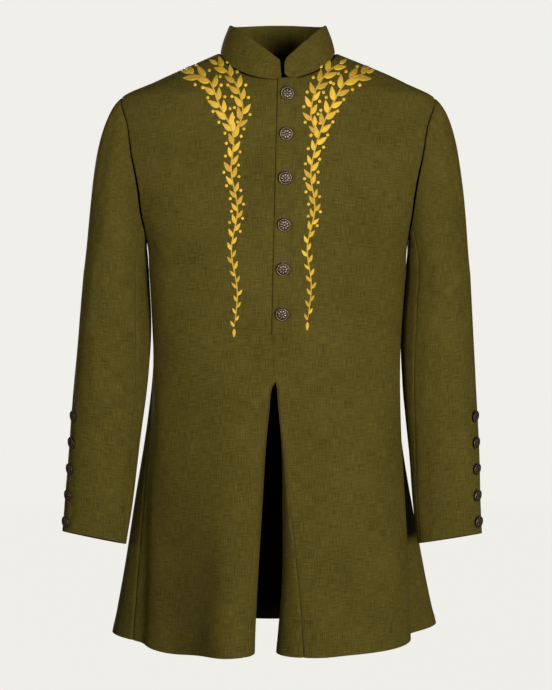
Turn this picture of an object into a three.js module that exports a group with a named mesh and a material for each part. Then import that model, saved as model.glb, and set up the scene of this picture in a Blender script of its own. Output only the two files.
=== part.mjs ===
// Linen tunic, filled out as it is worn, with nobody in it.
//
// Millimetres, +Z up, front towards -Y, the wearer's left towards +X. The origin lies between the two points
// where the collar meets the shoulder seams, which is where the wearer's shoulders hold the garment up.
//
// The body is a stack of rings from the hem to the neck. Each panel is a grid of points on those rings, with
// a wall laid inside it. Its side column runs up the side seam, round the armhole and along the shoulder.

import * as THREE from "three";

// ---------------------------------------------------------------- driving dimensions

const CLOTH = 1.6; // wall of the body and the sleeves
const BAND = 1.3; // wall of the plackets
const COLLAR_WALL = 2.4; // two layers and the interfacing between them
const SEAM_GAP = 0.4; // between two pieces at a seam
const LAY_GAP = 0.4; // between a piece and the one that it lies on

const HEM_Z = -894;
const SLIT_TOP_Z = -484; // the centre front is sewn above this and open below it
const FACING_TOP_Z = -500;

const NECK_HALF = 88.5; // at the collar seam
const NECK_FRONT_DROP = 46;
const NECK_FRONT_CURVE = 1.25; // above 1, the drop gathers at the centre front
const NECK_BACK_RISE = 4;
const SHOULDER_Z = -68; // the sleeve starts here
const SHOULDER_SEAM_FORWARD = 7; // degrees that the seam lies in front of the ridge, at the neck

const UNDERARM_Z = -285;
const ARMHOLE_BITE = { front: 26, back: 27 }; // degrees that the armhole cuts into the body ring

const SLEEVE_RING_Z = -335; // the cap ends here and the plain tube begins
const CUFF = { left: { z: -738, rise: 9 }, right: { z: -737, rise: 11 } }; // rise of the outer side
const CUFF_FRONT_RISE = 6; // its front edge above its middle
const SLEEVE_SHIFT = { ring: 1, cuff: -4.5 }; // both sleeves hang a little towards the wearer's right

const PLACKET_WIDTH = 28;
const PLACKET_BOTTOM_Z = -424;

const LEAN = 5; // the hem hangs this far towards the wearer's right of the neck

// Body rings: half width on the wearer's left and right, depth in front and behind, and how much fuller than
// an ellipse the ring is between them. Above the underarm the sides run on through the armholes.
const BODY = [
  { z: 4, left: 79, right: 79.5, front: 34, back: 68, full: 0 },
  { z: 0, left: 88.5, right: 88.5, front: 38, back: 70, full: 0 },
  { z: -30, left: 163, right: 155.5, front: 71, back: 89, full: -0.01 },
  { z: -46, left: 197, right: 190, front: 88, back: 98, full: -0.02 },
  { z: -68, left: 240, right: 236.5, front: 98, back: 107, full: -0.03 },
  { z: -114, left: 249, right: 248, front: 108, back: 117, full: -0.04 },
  { z: -153, left: 249, right: 249, front: 114, back: 121, full: -0.03 },
  { z: -186, left: 241, right: 241, front: 117, back: 123, full: -0.02 },
  { z: -240, left: 221, right: 221, front: 119, back: 122, full: 0 },
  { z: -285, left: 201, right: 200, front: 120, back: 121, full: 0.02 },
  { z: -340, left: 196.5, right: 195, front: 120, back: 119, full: 0.03 },
  { z: -450, left: 190.3, right: 187.3, front: 117, back: 114, full: 0.03 },
  { z: -560, left: 192, right: 190, front: 121, back: 121, full: 0.03 },
  { z: -700, left: 199.5, right: 198.5, front: 131, back: 138, full: 0.03 },
  { z: -894, left: 208, right: 208, front: 142, back: 158, full: 0.03 },
];

// Skirt folds: where, how wide (degrees), how far out at the hem, and where they begin.
const FOLDS = [
  { angle: -2, spread: 11, push: -17, top: -500 }, // both sides of the slit swing back
  { angle: 18, spread: 9, push: 8, top: -500 },
  { angle: 101, spread: 8, push: -10, top: -430 }, // wearer's left: a crease, and the side swings out behind
  { angle: 121, spread: 15, push: 88, top: -410 },
  { angle: -20, spread: 10, push: 16, top: -400 }, // wearer's right: a ridge, then a flat fall to the side
  { angle: -50, spread: 26, push: -34, top: -340 },
  { angle: -86, spread: 8, push: -9, top: -430 },
  { angle: -107, spread: 17, push: 54, top: -400 },
  { angle: 139, spread: 10, push: -12, top: -500 }, // back
  { angle: 158, spread: 9, push: 8, top: -540 },
  { angle: 181, spread: 11, push: -8, top: -470 },
  { angle: -157, spread: 9, push: 9, top: -560 },
  { angle: -135, spread: 10, push: -12, top: -500 },
];
const FOLD_GROWTH = 1.4; // above 1, a fold opens late and most near the hem
const HEM_DROP = { angle: -58, spread: 28, drop: 12, top: -600 }; // the flat side hangs lower than the rest

// The centre-front edge of each panel: one line down to the slit, then two that part.
const EDGE = [
  { z: -46, left: 0.9, right: 0.9 },
  { z: -226, left: -2.4, right: -2.4 },
  { z: -424, left: -5.6, right: -5.6 },
  { z: -484, left: -3.3, right: -3.3 },
  { z: -500, left: 1.4, right: -10.1 },
  { z: -534, left: 4.4, right: -14.5 },
  { z: -600, left: 12.1, right: -20.2 },
  { z: -690, left: 22.3, right: -26.8 },
  { z: -796, left: 34.8, right: -35.5 },
  { z: -894, left: 41.9, right: -43.6 },
];

// The slit facings roll inwards from the panel's edge: their turn in degrees where they start and end.
const FACINGS = {
  left: [
    { z: -500, start: 92, end: 130, width: 14 },
    { z: -534, start: 84, end: 126, width: 30 },
    { z: -600, start: 68, end: 116, width: 42 },
    { z: -760, start: 19, end: 97, width: 54 },
    { z: -894, start: -14, end: 66, width: 58 },
  ],
  right: [
    { z: -500, start: 50, end: 80, width: 14 },
    { z: -534, start: 58, end: 104, width: 28 },
    { z: -600, start: 62, end: 106, width: 40 },
    { z: -760, start: 38, end: 104, width: 48 },
    { z: -894, start: 14, end: 96, width: 52 },
  ],
};

// Sleeve rings: centre, half width across and half depth front to back, and how far the ring is turned.
const SLEEVE = [
  { z: -335, across: 246, along: 3, half: 48.2, depth: 70, turn: 8 },
  { z: -420, across: 246.3, along: 4, half: 54.3, depth: 66, turn: 12 },
  { z: -500, across: 250.7, along: -2, half: 55.8, depth: 60, turn: 8 },
  { z: -600, across: 258.9, along: -11, half: 53.4, depth: 51, turn: 0 },
  { z: -690, across: 265.2, along: -19, half: 51, depth: 43, turn: -8 },
  { z: -760, across: 271.7, along: -25, half: 49, depth: 39, turn: -12 },
];
const HINDARM = { armhole: -60, cuff: 10 }; // ring angles of the two long sleeve seams
const FOREARM = { armhole: 140, cuff: 150 };

// Sleeve cap: how strongly its lines leave the armhole and arrive at the tube. The crown's share is added in
// full at the shoulder tip and not at all at the underarm.
const CAP_LEAVE = { out: 2, down: 50, forward: 50, crownOut: 138, crownDown: 50 };
const CAP_ARRIVE = { down: 50, crownOut: 39, crownDown: 210 };

// Stand collar: its top edge is narrower than its seam and sweeps down to the front.
const COLLAR_TOP_HALF = 74;
const COLLAR_TOP_Y = -6;
const COLLAR_TOP_FRONT_DEPTH = 78;
const COLLAR_TOP_BACK_DEPTH = 68;
const COLLAR_TOP_FRONT_Z = { left: -26, right: -15 };
const COLLAR_TOP_SIDE_Z = 41;
const COLLAR_TOP_BACK_RISE = 7;
const COLLAR_BOW = 1.5; // outwards, half way up
const COLLAR_LIFT = 0.5; // clear of the neck edge
const COLLAR_INSET = 0.8;
const COLLAR_END_RIGHT = 3.2; // angles of the two front ends
const COLLAR_END_LEFT = 7.4;
const COLLAR_LEFT_CUTBACK = { angle: 5.6, height: 0.5 }; // the left end is cut back up to half its height
const COLLAR_CORNER = { right: 3, left: 8 }; // rounded top corners

const BUTTON = { radius: 10, rise: 3.4, shank: 2.4, shankRadius: 2.6 };
// Section of a button's head, in shares of its radius and of its rise above the shank.
const BUTTON_HEAD = [
  { out: 0.8, up: 0 },
  { out: 1, up: 0.35 },
  { out: 0.94, up: 0.75 },
  { out: 0.8, up: 0.62 },
  { out: 0, up: 1 },
];
const CUFF_BUTTON_SCALE = 0.92;
const FRONT_BUTTON_HEIGHTS = [-69, -129, -194, -263, -328, -394]; // sewn on by hand, not quite evenly
const CUFF_BUTTONS = { count: 5, first: -552, spacing: 39.5, firstAngle: 36, lastAngle: 26 };
const BUTTON_NOD = 12; // buttons hang a little face down

// The body's rows from the hem to just under the arm. They stand closer where the slit and the placket end.
const SKIRT_HEIGHTS = [
  HEM_Z,
  -838,
  -782,
  -726,
  -670,
  -616,
  -566,
  -530,
  FACING_TOP_Z,
  SLIT_TOP_Z,
  PLACKET_BOTTOM_Z,
  -382,
  -340,
  -312,
];

// Grid sizes.
const BAND_STEPS = 2;
const FRONT_STEPS = 13; // from the band to the side seam
const BACK_STEPS = 15; // from the centre back to the side seam
const ARMHOLE_STEPS = 9; // from the underarm to the shoulder, on the front and on the back
const YOKE_ROWS = 5; // from the shoulder to the neck
const CAP_ROWS = 6;
const TUBE_ROWS = 9;
const COLLAR_STEPS = 40;
const COLLAR_ROWS = 3;
const COLLAR_CROWDING = 0.7; // columns crowd towards the two ends, where the corners are
const FACING_STEPS = 4;
const BUTTON_SIDES = 10;

const LINEN = { color: 0x584b1e, roughness: 0.9, metalness: 0 };
const BRONZE = { color: 0x3a2c22, roughness: 0.42, metalness: 0.85 };

// ---------------------------------------------------------------- small helpers

const rad = THREE.MathUtils.degToRad;
const deg = THREE.MathUtils.radToDeg;
const lerp = THREE.MathUtils.lerp;
const V = (x, y, z) => new THREE.Vector3(x, y, z);
const nameOf = (side) => (side > 0 ? "left" : "right");
const range = (n) => Array.from({ length: n }, (_, i) => i);

// One column of a table at height z, on a smooth curve through its rows. Rows run downwards.
function at(table, key, z) {
  const last = table.length - 1;
  const clamped = Math.min(table[0].z, Math.max(table[last].z, z));
  let i = 0;
  while (i < last - 1 && clamped < table[i + 1].z) i += 1;
  const slope = (k) => {
    const a = table[Math.max(0, k - 1)];
    const b = table[Math.min(last, k + 1)];
    return (b[key] - a[key]) / (b.z - a.z);
  };
  const step = table[i + 1].z - table[i].z;
  return hermite(
    table[i][key],
    slope(i) * step,
    table[i + 1][key],
    slope(i + 1) * step,
    (clamped - table[i].z) / step,
  );
}

function hermite(from, leave, to, arrive, t) {
  const t2 = t * t;
  const t3 = t2 * t;
  return (
    from * (2 * t3 - 3 * t2 + 1) +
    leave * (t3 - 2 * t2 + t) +
    to * (3 * t2 - 2 * t3) +
    arrive * (t3 - t2)
  );
}

function hermiteVector(from, leave, to, arrive, t) {
  return V(
    hermite(from.x, leave.x, to.x, arrive.x, t),
    hermite(from.y, leave.y, to.y, arrive.y, t),
    hermite(from.z, leave.z, to.z, arrive.z, t),
  );
}

// ---------------------------------------------------------------- the body's surface

// How far a fold of the skirt has opened at a place: from 0 where it begins to 1 at its middle on the hem.
function opened(fold, angle, z) {
  const away = THREE.MathUtils.euclideanModulo(angle - fold.angle + 180, 360) - 180;
  const grown = Math.max(0, (fold.top - z) / (fold.top - HEM_Z)) ** FOLD_GROWTH;
  return grown * Math.exp(-((away / fold.spread) ** 2));
}

const foldPush = (angle, z) => FOLDS.reduce((sum, fold) => sum + fold.push * opened(fold, angle, z), 0);
const hemDrop = (angle, z) => HEM_DROP.drop * opened(HEM_DROP, angle, z);

const halfOf = (side, z) => at(BODY, nameOf(side), z);

// A point of the body ring at height z. Angle 0 is the centre front and 90 the wearer's left.
function ringPoint(angle, z) {
  const a = rad(angle);
  const half = halfOf(Math.sin(a), z);
  const depth = at(BODY, Math.cos(a) > 0 ? "front" : "back", z);
  const full = 1 + at(BODY, "full", z) * Math.sin(2 * a) ** 2;
  const out = V(Math.sin(a) / half, -Math.cos(a) / depth, 0).normalize();
  const onRing = V(half * Math.sin(a) * full, -depth * Math.cos(a) * full, z - hemDrop(angle, z));
  return onRing.addScaledVector(out, foldPush(angle, z));
}

const angleOfX = (x, z) => deg(Math.asin(x / halfOf(x, z)));

// The neck seam. Angle 0 is the centre front, 90 the wearer's left shoulder; the ring angle goes with it.
function neckSpot(angle) {
  const c = Math.cos(rad(angle));
  const s = Math.sin(rad(angle));
  const z = c > 0 ? -NECK_FRONT_DROP * c ** NECK_FRONT_CURVE : NECK_BACK_RISE * c * c;
  const across = Math.min(1, (NECK_HALF * Math.abs(s)) / halfOf(s, z));
  return { z, across };
}

function neckPoint(angle) {
  const { z, across } = neckSpot(angle);
  const forward = deg(Math.asin(across));
  const side = Math.sign(Math.sin(rad(angle))) || 1;
  return ringPoint(side * (Math.cos(rad(angle)) > 0 ? forward : 180 - forward), z);
}

const armholeHeight = (around) => lerp(UNDERARM_Z, SHOULDER_Z, (1 + Math.cos(rad(around))) / 2);

// The armhole seam. Angle 0 is the shoulder tip, 90 the front, 180 the underarm and 270 the back.
function armholePoint(around, side) {
  const s = Math.sin(rad(around));
  const bite = ARMHOLE_BITE[s > 0 ? "front" : "back"];
  return ringPoint(side * (90 - bite * s), armholeHeight(around));
}

// ---------------------------------------------------------------- the grid of a body panel

// Rows from the hem to the neck. Beside the armhole, "around" is the armhole's own angle. In the yoke, "rise"
// goes from 0 at the shoulder to 1 at the neck.
const armholeRows = range(ARMHOLE_STEPS + 1).map((k) => 180 - (180 * k) / ARMHOLE_STEPS);
const ROWS = [
  ...SKIRT_HEIGHTS.map((z) => ({ z, around: 180, rise: 0 })),
  ...armholeRows.map((around) => ({ z: armholeHeight(around), around, rise: 0 })),
  ...range(YOKE_ROWS).map((k) => ({ z: SHOULDER_Z, around: 0, rise: (k + 1) / YOKE_ROWS })),
];

// The x of a line that runs down the front, this many placket widths from the centre-front edge.
const besideEdge = (side, widths, z) => at(EDGE, nameOf(side), z) + side * widths * PLACKET_WIDTH;

const neckAngleOfX = (x) => deg(Math.asin(x / NECK_HALF));

// A point of a front panel's band, whose columns keep beside the centre-front edge all the way up.
function bandPoint(step, row, side) {
  const x = (z) => besideEdge(side, step / BAND_STEPS, z);
  const top = neckSpot(neckAngleOfX(x(-NECK_FRONT_DROP)));
  const z = lerp(row.z, top.z, row.rise);
  return ringPoint(angleOfX(x(z), z), z);
}

// A point of a front panel: steps count from the centre-front edge, through the band, to the side line.
function frontPoint(step, row, side) {
  if (step <= BAND_STEPS) return bandPoint(step, row, side);
  const share = (step - BAND_STEPS) / FRONT_STEPS;
  const bandEnd = (z) => besideEdge(side, 1, z);
  const sideAngle = 90 - ARMHOLE_BITE.front * Math.sin(rad(row.around));
  const low = lerp(Math.abs(angleOfX(bandEnd(row.z), row.z)), sideAngle, share);
  const top = neckSpot(lerp(neckAngleOfX(bandEnd(-NECK_FRONT_DROP)), side * 90, share));
  return ringPoint(side * yokeAngle(low, top, row.rise, share), lerp(row.z, top.z, row.rise));
}

// A point of half of the back: steps count from the centre back to the side line.
function backPoint(step, row, side) {
  const share = step / BACK_STEPS;
  const sideAngle = 90 + ARMHOLE_BITE.back * Math.sin(rad(row.around));
  const low = lerp(180, sideAngle, share);
  const top = neckSpot(lerp(180, 90, share));
  return ringPoint(side * yokeAngle(low, top, row.rise, share), lerp(row.z, top.z, row.rise));
}

// The ring angle of a column, counted from the centre front. In the yoke it moves evenly across, from its
// angle at the shoulder to its place on the neck seam, and the side column keeps to the shoulder seam.
function yokeAngle(low, top, rise, share) {
  if (share === 1) return low - SHOULDER_SEAM_FORWARD * rise;
  const angle = deg(Math.asin(lerp(Math.sin(rad(low)), top.across, rise)));
  return low > 90 ? 180 - angle : angle;
}

// ---------------------------------------------------------------- panels: a grid of outer points and a wall

class Panel {
  constructor(points, wall) {
    this.points = points;
    this.wall = wall;
    this.normals = points.map((line, i) => line.map((_, j) => this.normalAt(i, j)));
    this.depths = points.map((line) => line.map(() => wall));
  }

  // Columns run so that across x up points out of the garment.
  normalAt(i, j) {
    const p = this.points;
    const left = p[Math.max(0, i - 1)][j];
    const right = p[Math.min(p.length - 1, i + 1)][j];
    const low = p[i][Math.max(0, j - 1)];
    const high = p[i][Math.min(p[i].length - 1, j + 1)];
    return V().subVectors(right, left).cross(V().subVectors(high, low)).normalize();
  }

  // The indices along one edge: "first" and "last" are columns, "low" and "high" are rows.
  edge(name) {
    const [ni, nj] = [this.points.length, this.points[0].length];
    if (name === "first" || name === "last") return range(nj).map((j) => [name === "first" ? 0 : ni - 1, j]);
    return range(ni).map((i) => [i, name === "low" ? 0 : nj - 1]);
  }

  // Draws the points of an edge back, in the cloth and square to the edge, to leave room for the seam.
  pull(name, by) {
    const [ni, nj] = [this.points.length, this.points[0].length];
    const along = name === "first" || name === "last" ? [0, 1] : [1, 0];
    const side = name === "last" || name === "low" ? 1 : -1;
    const moves = this.edge(name).map(([i, j]) => {
      const before = this.points[Math.max(0, i - along[0])][Math.max(0, j - along[1])];
      const after = this.points[Math.min(ni - 1, i + along[0])][Math.min(nj - 1, j + along[1])];
      return V().subVectors(after, before).cross(this.normals[i][j]).normalize().multiplyScalar(-side * by);
    });
    this.edge(name).forEach(([i, j], k) => this.points[i][j].add(moves[k]));
    return this;
  }

  // Some of its columns, from one row up to the top, moved outwards along the normals.
  moved(by, columns, firstRow) {
    return columns.map((i) => {
      const normals = this.normals[i].slice(firstRow);
      return this.points[i].slice(firstRow).map((p, j) => p.clone().addScaledVector(normals[j], by));
    });
  }

  geometry() {
    const [ni, nj] = [this.points.length, this.points[0].length];
    const outer = this.points.flat();
    const inner = this.points.flatMap((line, i) =>
      line.map((p, j) => p.clone().addScaledVector(this.normals[i][j], -this.depths[i][j])),
    );
    const positions = [...outer, ...inner].flatMap((p) => [p.x, p.y, p.z]);
    const id = (i, j, layer) => layer * ni * nj + i * nj + j;
    const faces = [];
    const quad = (a, b, c, d) => faces.push(a, b, c, a, c, d);
    for (let i = 0; i < ni - 1; i += 1) {
      for (let j = 0; j < nj - 1; j += 1) {
        quad(id(i, j, 0), id(i + 1, j, 0), id(i + 1, j + 1, 0), id(i, j + 1, 0));
        quad(id(i, j, 1), id(i, j + 1, 1), id(i + 1, j + 1, 1), id(i + 1, j, 1));
      }
      quad(id(i, 0, 0), id(i, 0, 1), id(i + 1, 0, 1), id(i + 1, 0, 0));
      quad(id(i, nj - 1, 0), id(i + 1, nj - 1, 0), id(i + 1, nj - 1, 1), id(i, nj - 1, 1));
    }
    for (let j = 0; j < nj - 1; j += 1) {
      quad(id(0, j, 0), id(0, j + 1, 0), id(0, j + 1, 1), id(0, j, 1));
      quad(id(ni - 1, j, 0), id(ni - 1, j, 1), id(ni - 1, j + 1, 1), id(ni - 1, j + 1, 0));
    }
    const geometry = new THREE.BufferGeometry();
    geometry.setAttribute("position", new THREE.Float32BufferAttribute(positions, 3));
    geometry.setIndex(faces);
    return geometry;
  }
}

// Gives every point that panels share at a seam one common wall direction, so that their walls don't cross.
function settleSeams(panels) {
  const meeting = new Map();
  for (const panel of panels) {
    panel.points.forEach((line, i) =>
      line.forEach((p, j) => {
        const key = [p.x, p.y, p.z].map((v) => Math.round(v * 100)).join();
        if (!meeting.has(key)) meeting.set(key, []);
        meeting.get(key).push({ panel, i, j });
      }),
    );
  }
  for (const ends of meeting.values()) {
    if (ends.length < 2) continue;
    const common = V();
    for (const { panel, i, j } of ends) common.add(panel.normals[i][j]);
    common.normalize();
    for (const { panel, i, j } of ends) {
      panel.depths[i][j] = panel.wall / common.dot(panel.normals[i][j]);
      panel.normals[i][j].copy(common);
    }
  }
}

// ---------------------------------------------------------------- body panels

function bodyColumns(count, point, side) {
  return range(count + 1).map((step) => ROWS.map((row) => point(step, row, side)));
}

const frontLeft = new Panel(bodyColumns(BAND_STEPS + FRONT_STEPS, frontPoint, 1), CLOTH);
const frontRight = new Panel(bodyColumns(BAND_STEPS + FRONT_STEPS, frontPoint, -1).reverse(), CLOTH);
const backHalves = [bodyColumns(BACK_STEPS, backPoint, 1), bodyColumns(BACK_STEPS, backPoint, -1)];
const back = new Panel([...backHalves[0].reverse(), ...backHalves[1].slice(1)], CLOTH);

// ---------------------------------------------------------------- sleeves

// A point of a sleeve: angle 0 is its outer side and 90 its front. Row 0 is the armhole seam.
function sleevePoint(angle, row, side) {
  const a = rad(angle);
  if (row > CAP_ROWS) {
    const { z, rise } = CUFF[nameOf(side)];
    const end = z + rise * Math.cos(a) + CUFF_FRONT_RISE * Math.sin(a);
    return sleeveRing(a, lerp(SLEEVE_RING_Z, end, (row - CAP_ROWS) / TUBE_ROWS), side);
  }
  const crown = (1 + Math.cos(a)) / 2;
  const leave = V(
    side * (CAP_LEAVE.out + CAP_LEAVE.crownOut * crown),
    -CAP_LEAVE.forward * Math.sin(a),
    -CAP_LEAVE.down - CAP_LEAVE.crownDown * crown,
  );
  const arrive = V(side * CAP_ARRIVE.crownOut * crown, 0, -CAP_ARRIVE.down - CAP_ARRIVE.crownDown * crown);
  const from = armholePoint(angle, side);
  return hermiteVector(from, leave, sleeveRing(a, SLEEVE_RING_Z, side), arrive, row / CAP_ROWS);
}

function sleeveRing(a, z, side) {
  const turn = rad(at(SLEEVE, "turn", z));
  const down = (z - SLEEVE_RING_Z) / (CUFF.right.z - SLEEVE_RING_Z);
  const shift = lerp(SLEEVE_SHIFT.ring, SLEEVE_SHIFT.cuff, down);
  const x = at(SLEEVE, "half", z) * Math.cos(a);
  const y = -at(SLEEVE, "depth", z) * Math.sin(a);
  return V(
    shift + side * (at(SLEEVE, "across", z) + x * Math.cos(turn) - y * Math.sin(turn)),
    at(SLEEVE, "along", z) + x * Math.sin(turn) + y * Math.cos(turn),
    z,
  );
}

// A sleeve has one column for each column of the armhole.
const upperCount = ((FOREARM.armhole - HINDARM.armhole) * ARMHOLE_STEPS) / 180;
const underCount = 2 * ARMHOLE_STEPS - upperCount;

// The ring angle of a sleeve column. Both long seams turn a little between the armhole and the cuff.
function sleeveAngle(piece, share, row) {
  const down = row / (CAP_ROWS + TUBE_ROWS);
  const hind = lerp(HINDARM.armhole, HINDARM.cuff, down);
  const fore = lerp(FOREARM.armhole, FOREARM.cuff, down);
  return piece === "upper" ? lerp(hind, fore, share) : lerp(fore, hind + 360, share);
}

function sleevePanel(piece, side) {
  const count = piece === "upper" ? upperCount : underCount;
  const line = (share) =>
    range(CAP_ROWS + TUBE_ROWS + 1)
      .map((row) => sleevePoint(sleeveAngle(piece, share, row), row, side))
      .reverse();
  const shares = range(count + 1).map((i) => i / count);
  // Seen from outside, the wearer's left sleeve runs front to outer, the right one outer to front.
  if (side > 0) shares.reverse();
  return new Panel(shares.map(line), CLOTH);
}

const SIDES = { left: 1, right: -1 };
const sleeves = Object.fromEntries(
  Object.entries(SIDES).map(([name, side]) => [
    name,
    { upper: sleevePanel("upper", side), under: sleevePanel("under", side) },
  ]),
);

// ---------------------------------------------------------------- collar

function collarTop(angle, name) {
  const s = Math.sin(rad(angle));
  const outward = SIDES[name] * s;
  const c = Math.cos(rad(angle));
  const depth = c > 0 ? COLLAR_TOP_FRONT_DEPTH : COLLAR_TOP_BACK_DEPTH;
  const z =
    c > 0
      ? lerp(COLLAR_TOP_FRONT_Z[name], COLLAR_TOP_SIDE_Z, outward)
      : COLLAR_TOP_SIDE_Z + COLLAR_TOP_BACK_RISE * c * c;
  return V(COLLAR_TOP_HALF * s, COLLAR_TOP_Y - depth * c, z);
}

// The stand, from the wearer's right end round the back to the left end. t climbs from the seam to the top.
function collarPoint(share, t) {
  const cutback = COLLAR_LEFT_CUTBACK.angle * Math.max(0, 1 - t / COLLAR_LEFT_CUTBACK.height) ** 2;
  const leftEnd = COLLAR_END_LEFT + cutback - 360;
  const angle = lerp(COLLAR_END_RIGHT, leftEnd, share);
  const out = V(Math.sin(rad(angle)), -Math.cos(rad(angle)), 0);
  const foot = neckPoint(angle).addScaledVector(out, -COLLAR_INSET).add(V(0, 0, COLLAR_LIFT));
  const top = collarTop(angle, share < 0.5 ? "right" : "left");
  const millimetresPerDegree = rad(1) * NECK_HALF;
  const corners = [
    { away: (COLLAR_END_RIGHT - angle) * millimetresPerDegree, radius: COLLAR_CORNER.right },
    { away: (angle - leftEnd) * millimetresPerDegree, radius: COLLAR_CORNER.left },
  ];
  for (const { away, radius } of corners) {
    if (away < radius) top.z -= radius - Math.sqrt(radius ** 2 - (radius - away) ** 2);
  }
  return V().lerpVectors(foot, top, t).addScaledVector(out, COLLAR_BOW * Math.sin(Math.PI * t));
}

const collarShares = range(COLLAR_STEPS + 1).map((i) => {
  const share = i / COLLAR_STEPS;
  return share - (COLLAR_CROWDING * Math.sin(2 * Math.PI * share)) / (2 * Math.PI);
});
const collar = new Panel(
  collarShares
    .map((share) => range(COLLAR_ROWS + 1).map((j) => collarPoint(share, j / COLLAR_ROWS)))
    .reverse(),
  COLLAR_WALL,
);

// ---------------------------------------------------------------- slit facings

// A facing goes on from the panel's slit edge and rolls into the garment.
function facing(side) {
  const table = FACINGS[nameOf(side)];
  const heights = [...SKIRT_HEIGHTS.filter((z) => z < FACING_TOP_Z), FACING_TOP_Z];
  const line = (z) => {
    const angle = angleOfX(besideEdge(side, 0, z), z);
    const start = ringPoint(angle, z);
    const beside = ringPoint(angle + side, z); // one degree on, in the panel
    const towards = V().subVectors(start, beside).normalize();
    const inside = V(-towards.y, towards.x, 0).multiplyScalar(-side);
    const width = at(table, "width", z);
    const points = [start.clone()];
    for (const k of range(FACING_STEPS)) {
      const turn = rad(lerp(at(table, "start", z), at(table, "end", z), (k + 0.5) / FACING_STEPS));
      const step = V().addScaledVector(towards, Math.cos(turn)).addScaledVector(inside, Math.sin(turn));
      points.push(points[k].clone().addScaledVector(step, width / FACING_STEPS));
    }
    return points;
  };
  const lines = heights.map(line);
  const columns = range(FACING_STEPS + 1).map((k) => lines.map((points) => points[k]));
  if (side > 0) columns.reverse();
  return new Panel(columns, CLOTH);
}

const facings = { left: facing(1), right: facing(-1) };

// ---------------------------------------------------------------- seams

const sewn = [
  frontLeft,
  frontRight,
  back,
  facings.left,
  facings.right,
  ...Object.values(sleeves).flatMap(({ upper, under }) => [upper, under]),
];
settleSeams(sewn);

// ---------------------------------------------------------------- placket bands

// The top band lies on the left front. The under band lies behind both: half a band's width on the right
// front and a full width on the left one.
const placketRow = SKIRT_HEIGHTS.indexOf(PLACKET_BOTTOM_Z);
const bandColumns = range(BAND_STEPS + 1);
const rightBandMiddle = frontRight.points.length - 1 - BAND_STEPS / 2;
const placketTop = new Panel(frontLeft.moved(LAY_GAP + BAND, bandColumns, placketRow), BAND);
const placketUnder = new Panel(
  [
    ...frontRight.moved(-CLOTH - LAY_GAP, [rightBandMiddle], placketRow),
    ...frontLeft.moved(-CLOTH - LAY_GAP, bandColumns, placketRow),
  ],
  BAND,
);

// ---------------------------------------------------------------- seam gaps

for (const panel of [frontLeft, frontRight, back]) {
  for (const edge of ["first", "last", "high"]) panel.pull(edge, SEAM_GAP / 2);
}
for (const { upper, under } of Object.values(sleeves)) {
  for (const panel of [upper, under]) {
    panel.pull("first", SEAM_GAP / 2).pull("last", SEAM_GAP / 2).pull("high", SEAM_GAP);
  }
}
facings.left.pull("last", SEAM_GAP);
facings.right.pull("first", SEAM_GAP);

// ---------------------------------------------------------------- buttons

// A cast button with a raised rim, a low domed face and a shank, standing on +Y.
function buttonGeometry(scale) {
  const { radius, rise, shank, shankRadius } = BUTTON;
  const profile = [
    [0, 0],
    [shankRadius, 0],
    [shankRadius, shank],
    ...BUTTON_HEAD.map(({ out, up }) => [out * radius, shank + up * rise]),
  ].map(([x, y]) => new THREE.Vector2(x * scale, y * scale));
  return new THREE.LatheGeometry(profile, BUTTON_SIDES);
}

function button(name, foot, normal, scale) {
  const mesh = new THREE.Mesh(buttonGeometry(scale), new THREE.MeshStandardMaterial(BRONZE));
  const nod = V(0, 0, -Math.sin(rad(BUTTON_NOD)));
  const axis = normal.clone().add(nod).normalize();
  const lift = LAY_GAP + BUTTON.shankRadius * Math.sin(rad(BUTTON_NOD));
  mesh.name = name;
  mesh.position.copy(foot).addScaledVector(normal, lift);
  mesh.quaternion.setFromUnitVectors(V(0, 1, 0), axis);
  return mesh;
}

// Where a panel's column passes height z: the point and the normal there.
function onColumn(panel, i, z) {
  const line = panel.points[i];
  const j = line.findIndex((p, k) => k + 1 < line.length && (p.z - z) * (line[k + 1].z - z) <= 0);
  const t = (z - line[j].z) / (line[j + 1].z - line[j].z);
  return {
    point: V().lerpVectors(line[j], line[j + 1], t),
    normal: V().lerpVectors(panel.normals[i][j], panel.normals[i][j + 1], t).normalize(),
  };
}

const frontButtons = FRONT_BUTTON_HEIGHTS.map((z, k) => {
  const { point, normal } = onColumn(placketTop, 1, z);
  return button(`button_front_${k + 1}`, point, normal, 1);
});

// The outward normal of a sleeve, from the ways round it and down it.
function sleeveNormal(a, z, side) {
  const point = sleeveRing(a, z, side);
  const forwards = sleeveRing(a + rad(1), z, side).sub(point);
  const down = sleeveRing(a, z - 1, side).sub(point);
  return V().crossVectors(forwards, down).multiplyScalar(side).normalize();
}

const cuffButtons = Object.entries(SIDES).flatMap(([name, side]) =>
  range(CUFF_BUTTONS.count).map((k) => {
    const z = CUFF_BUTTONS.first - k * CUFF_BUTTONS.spacing;
    const a = rad(lerp(CUFF_BUTTONS.firstAngle, CUFF_BUTTONS.lastAngle, k / (CUFF_BUTTONS.count - 1)));
    const normal = sleeveNormal(a, z, side);
    return button(`button_cuff_${name}_${k + 1}`, sleeveRing(a, z, side), normal, CUFF_BUTTON_SCALE);
  }),
);

// ---------------------------------------------------------------- the tunic

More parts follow.
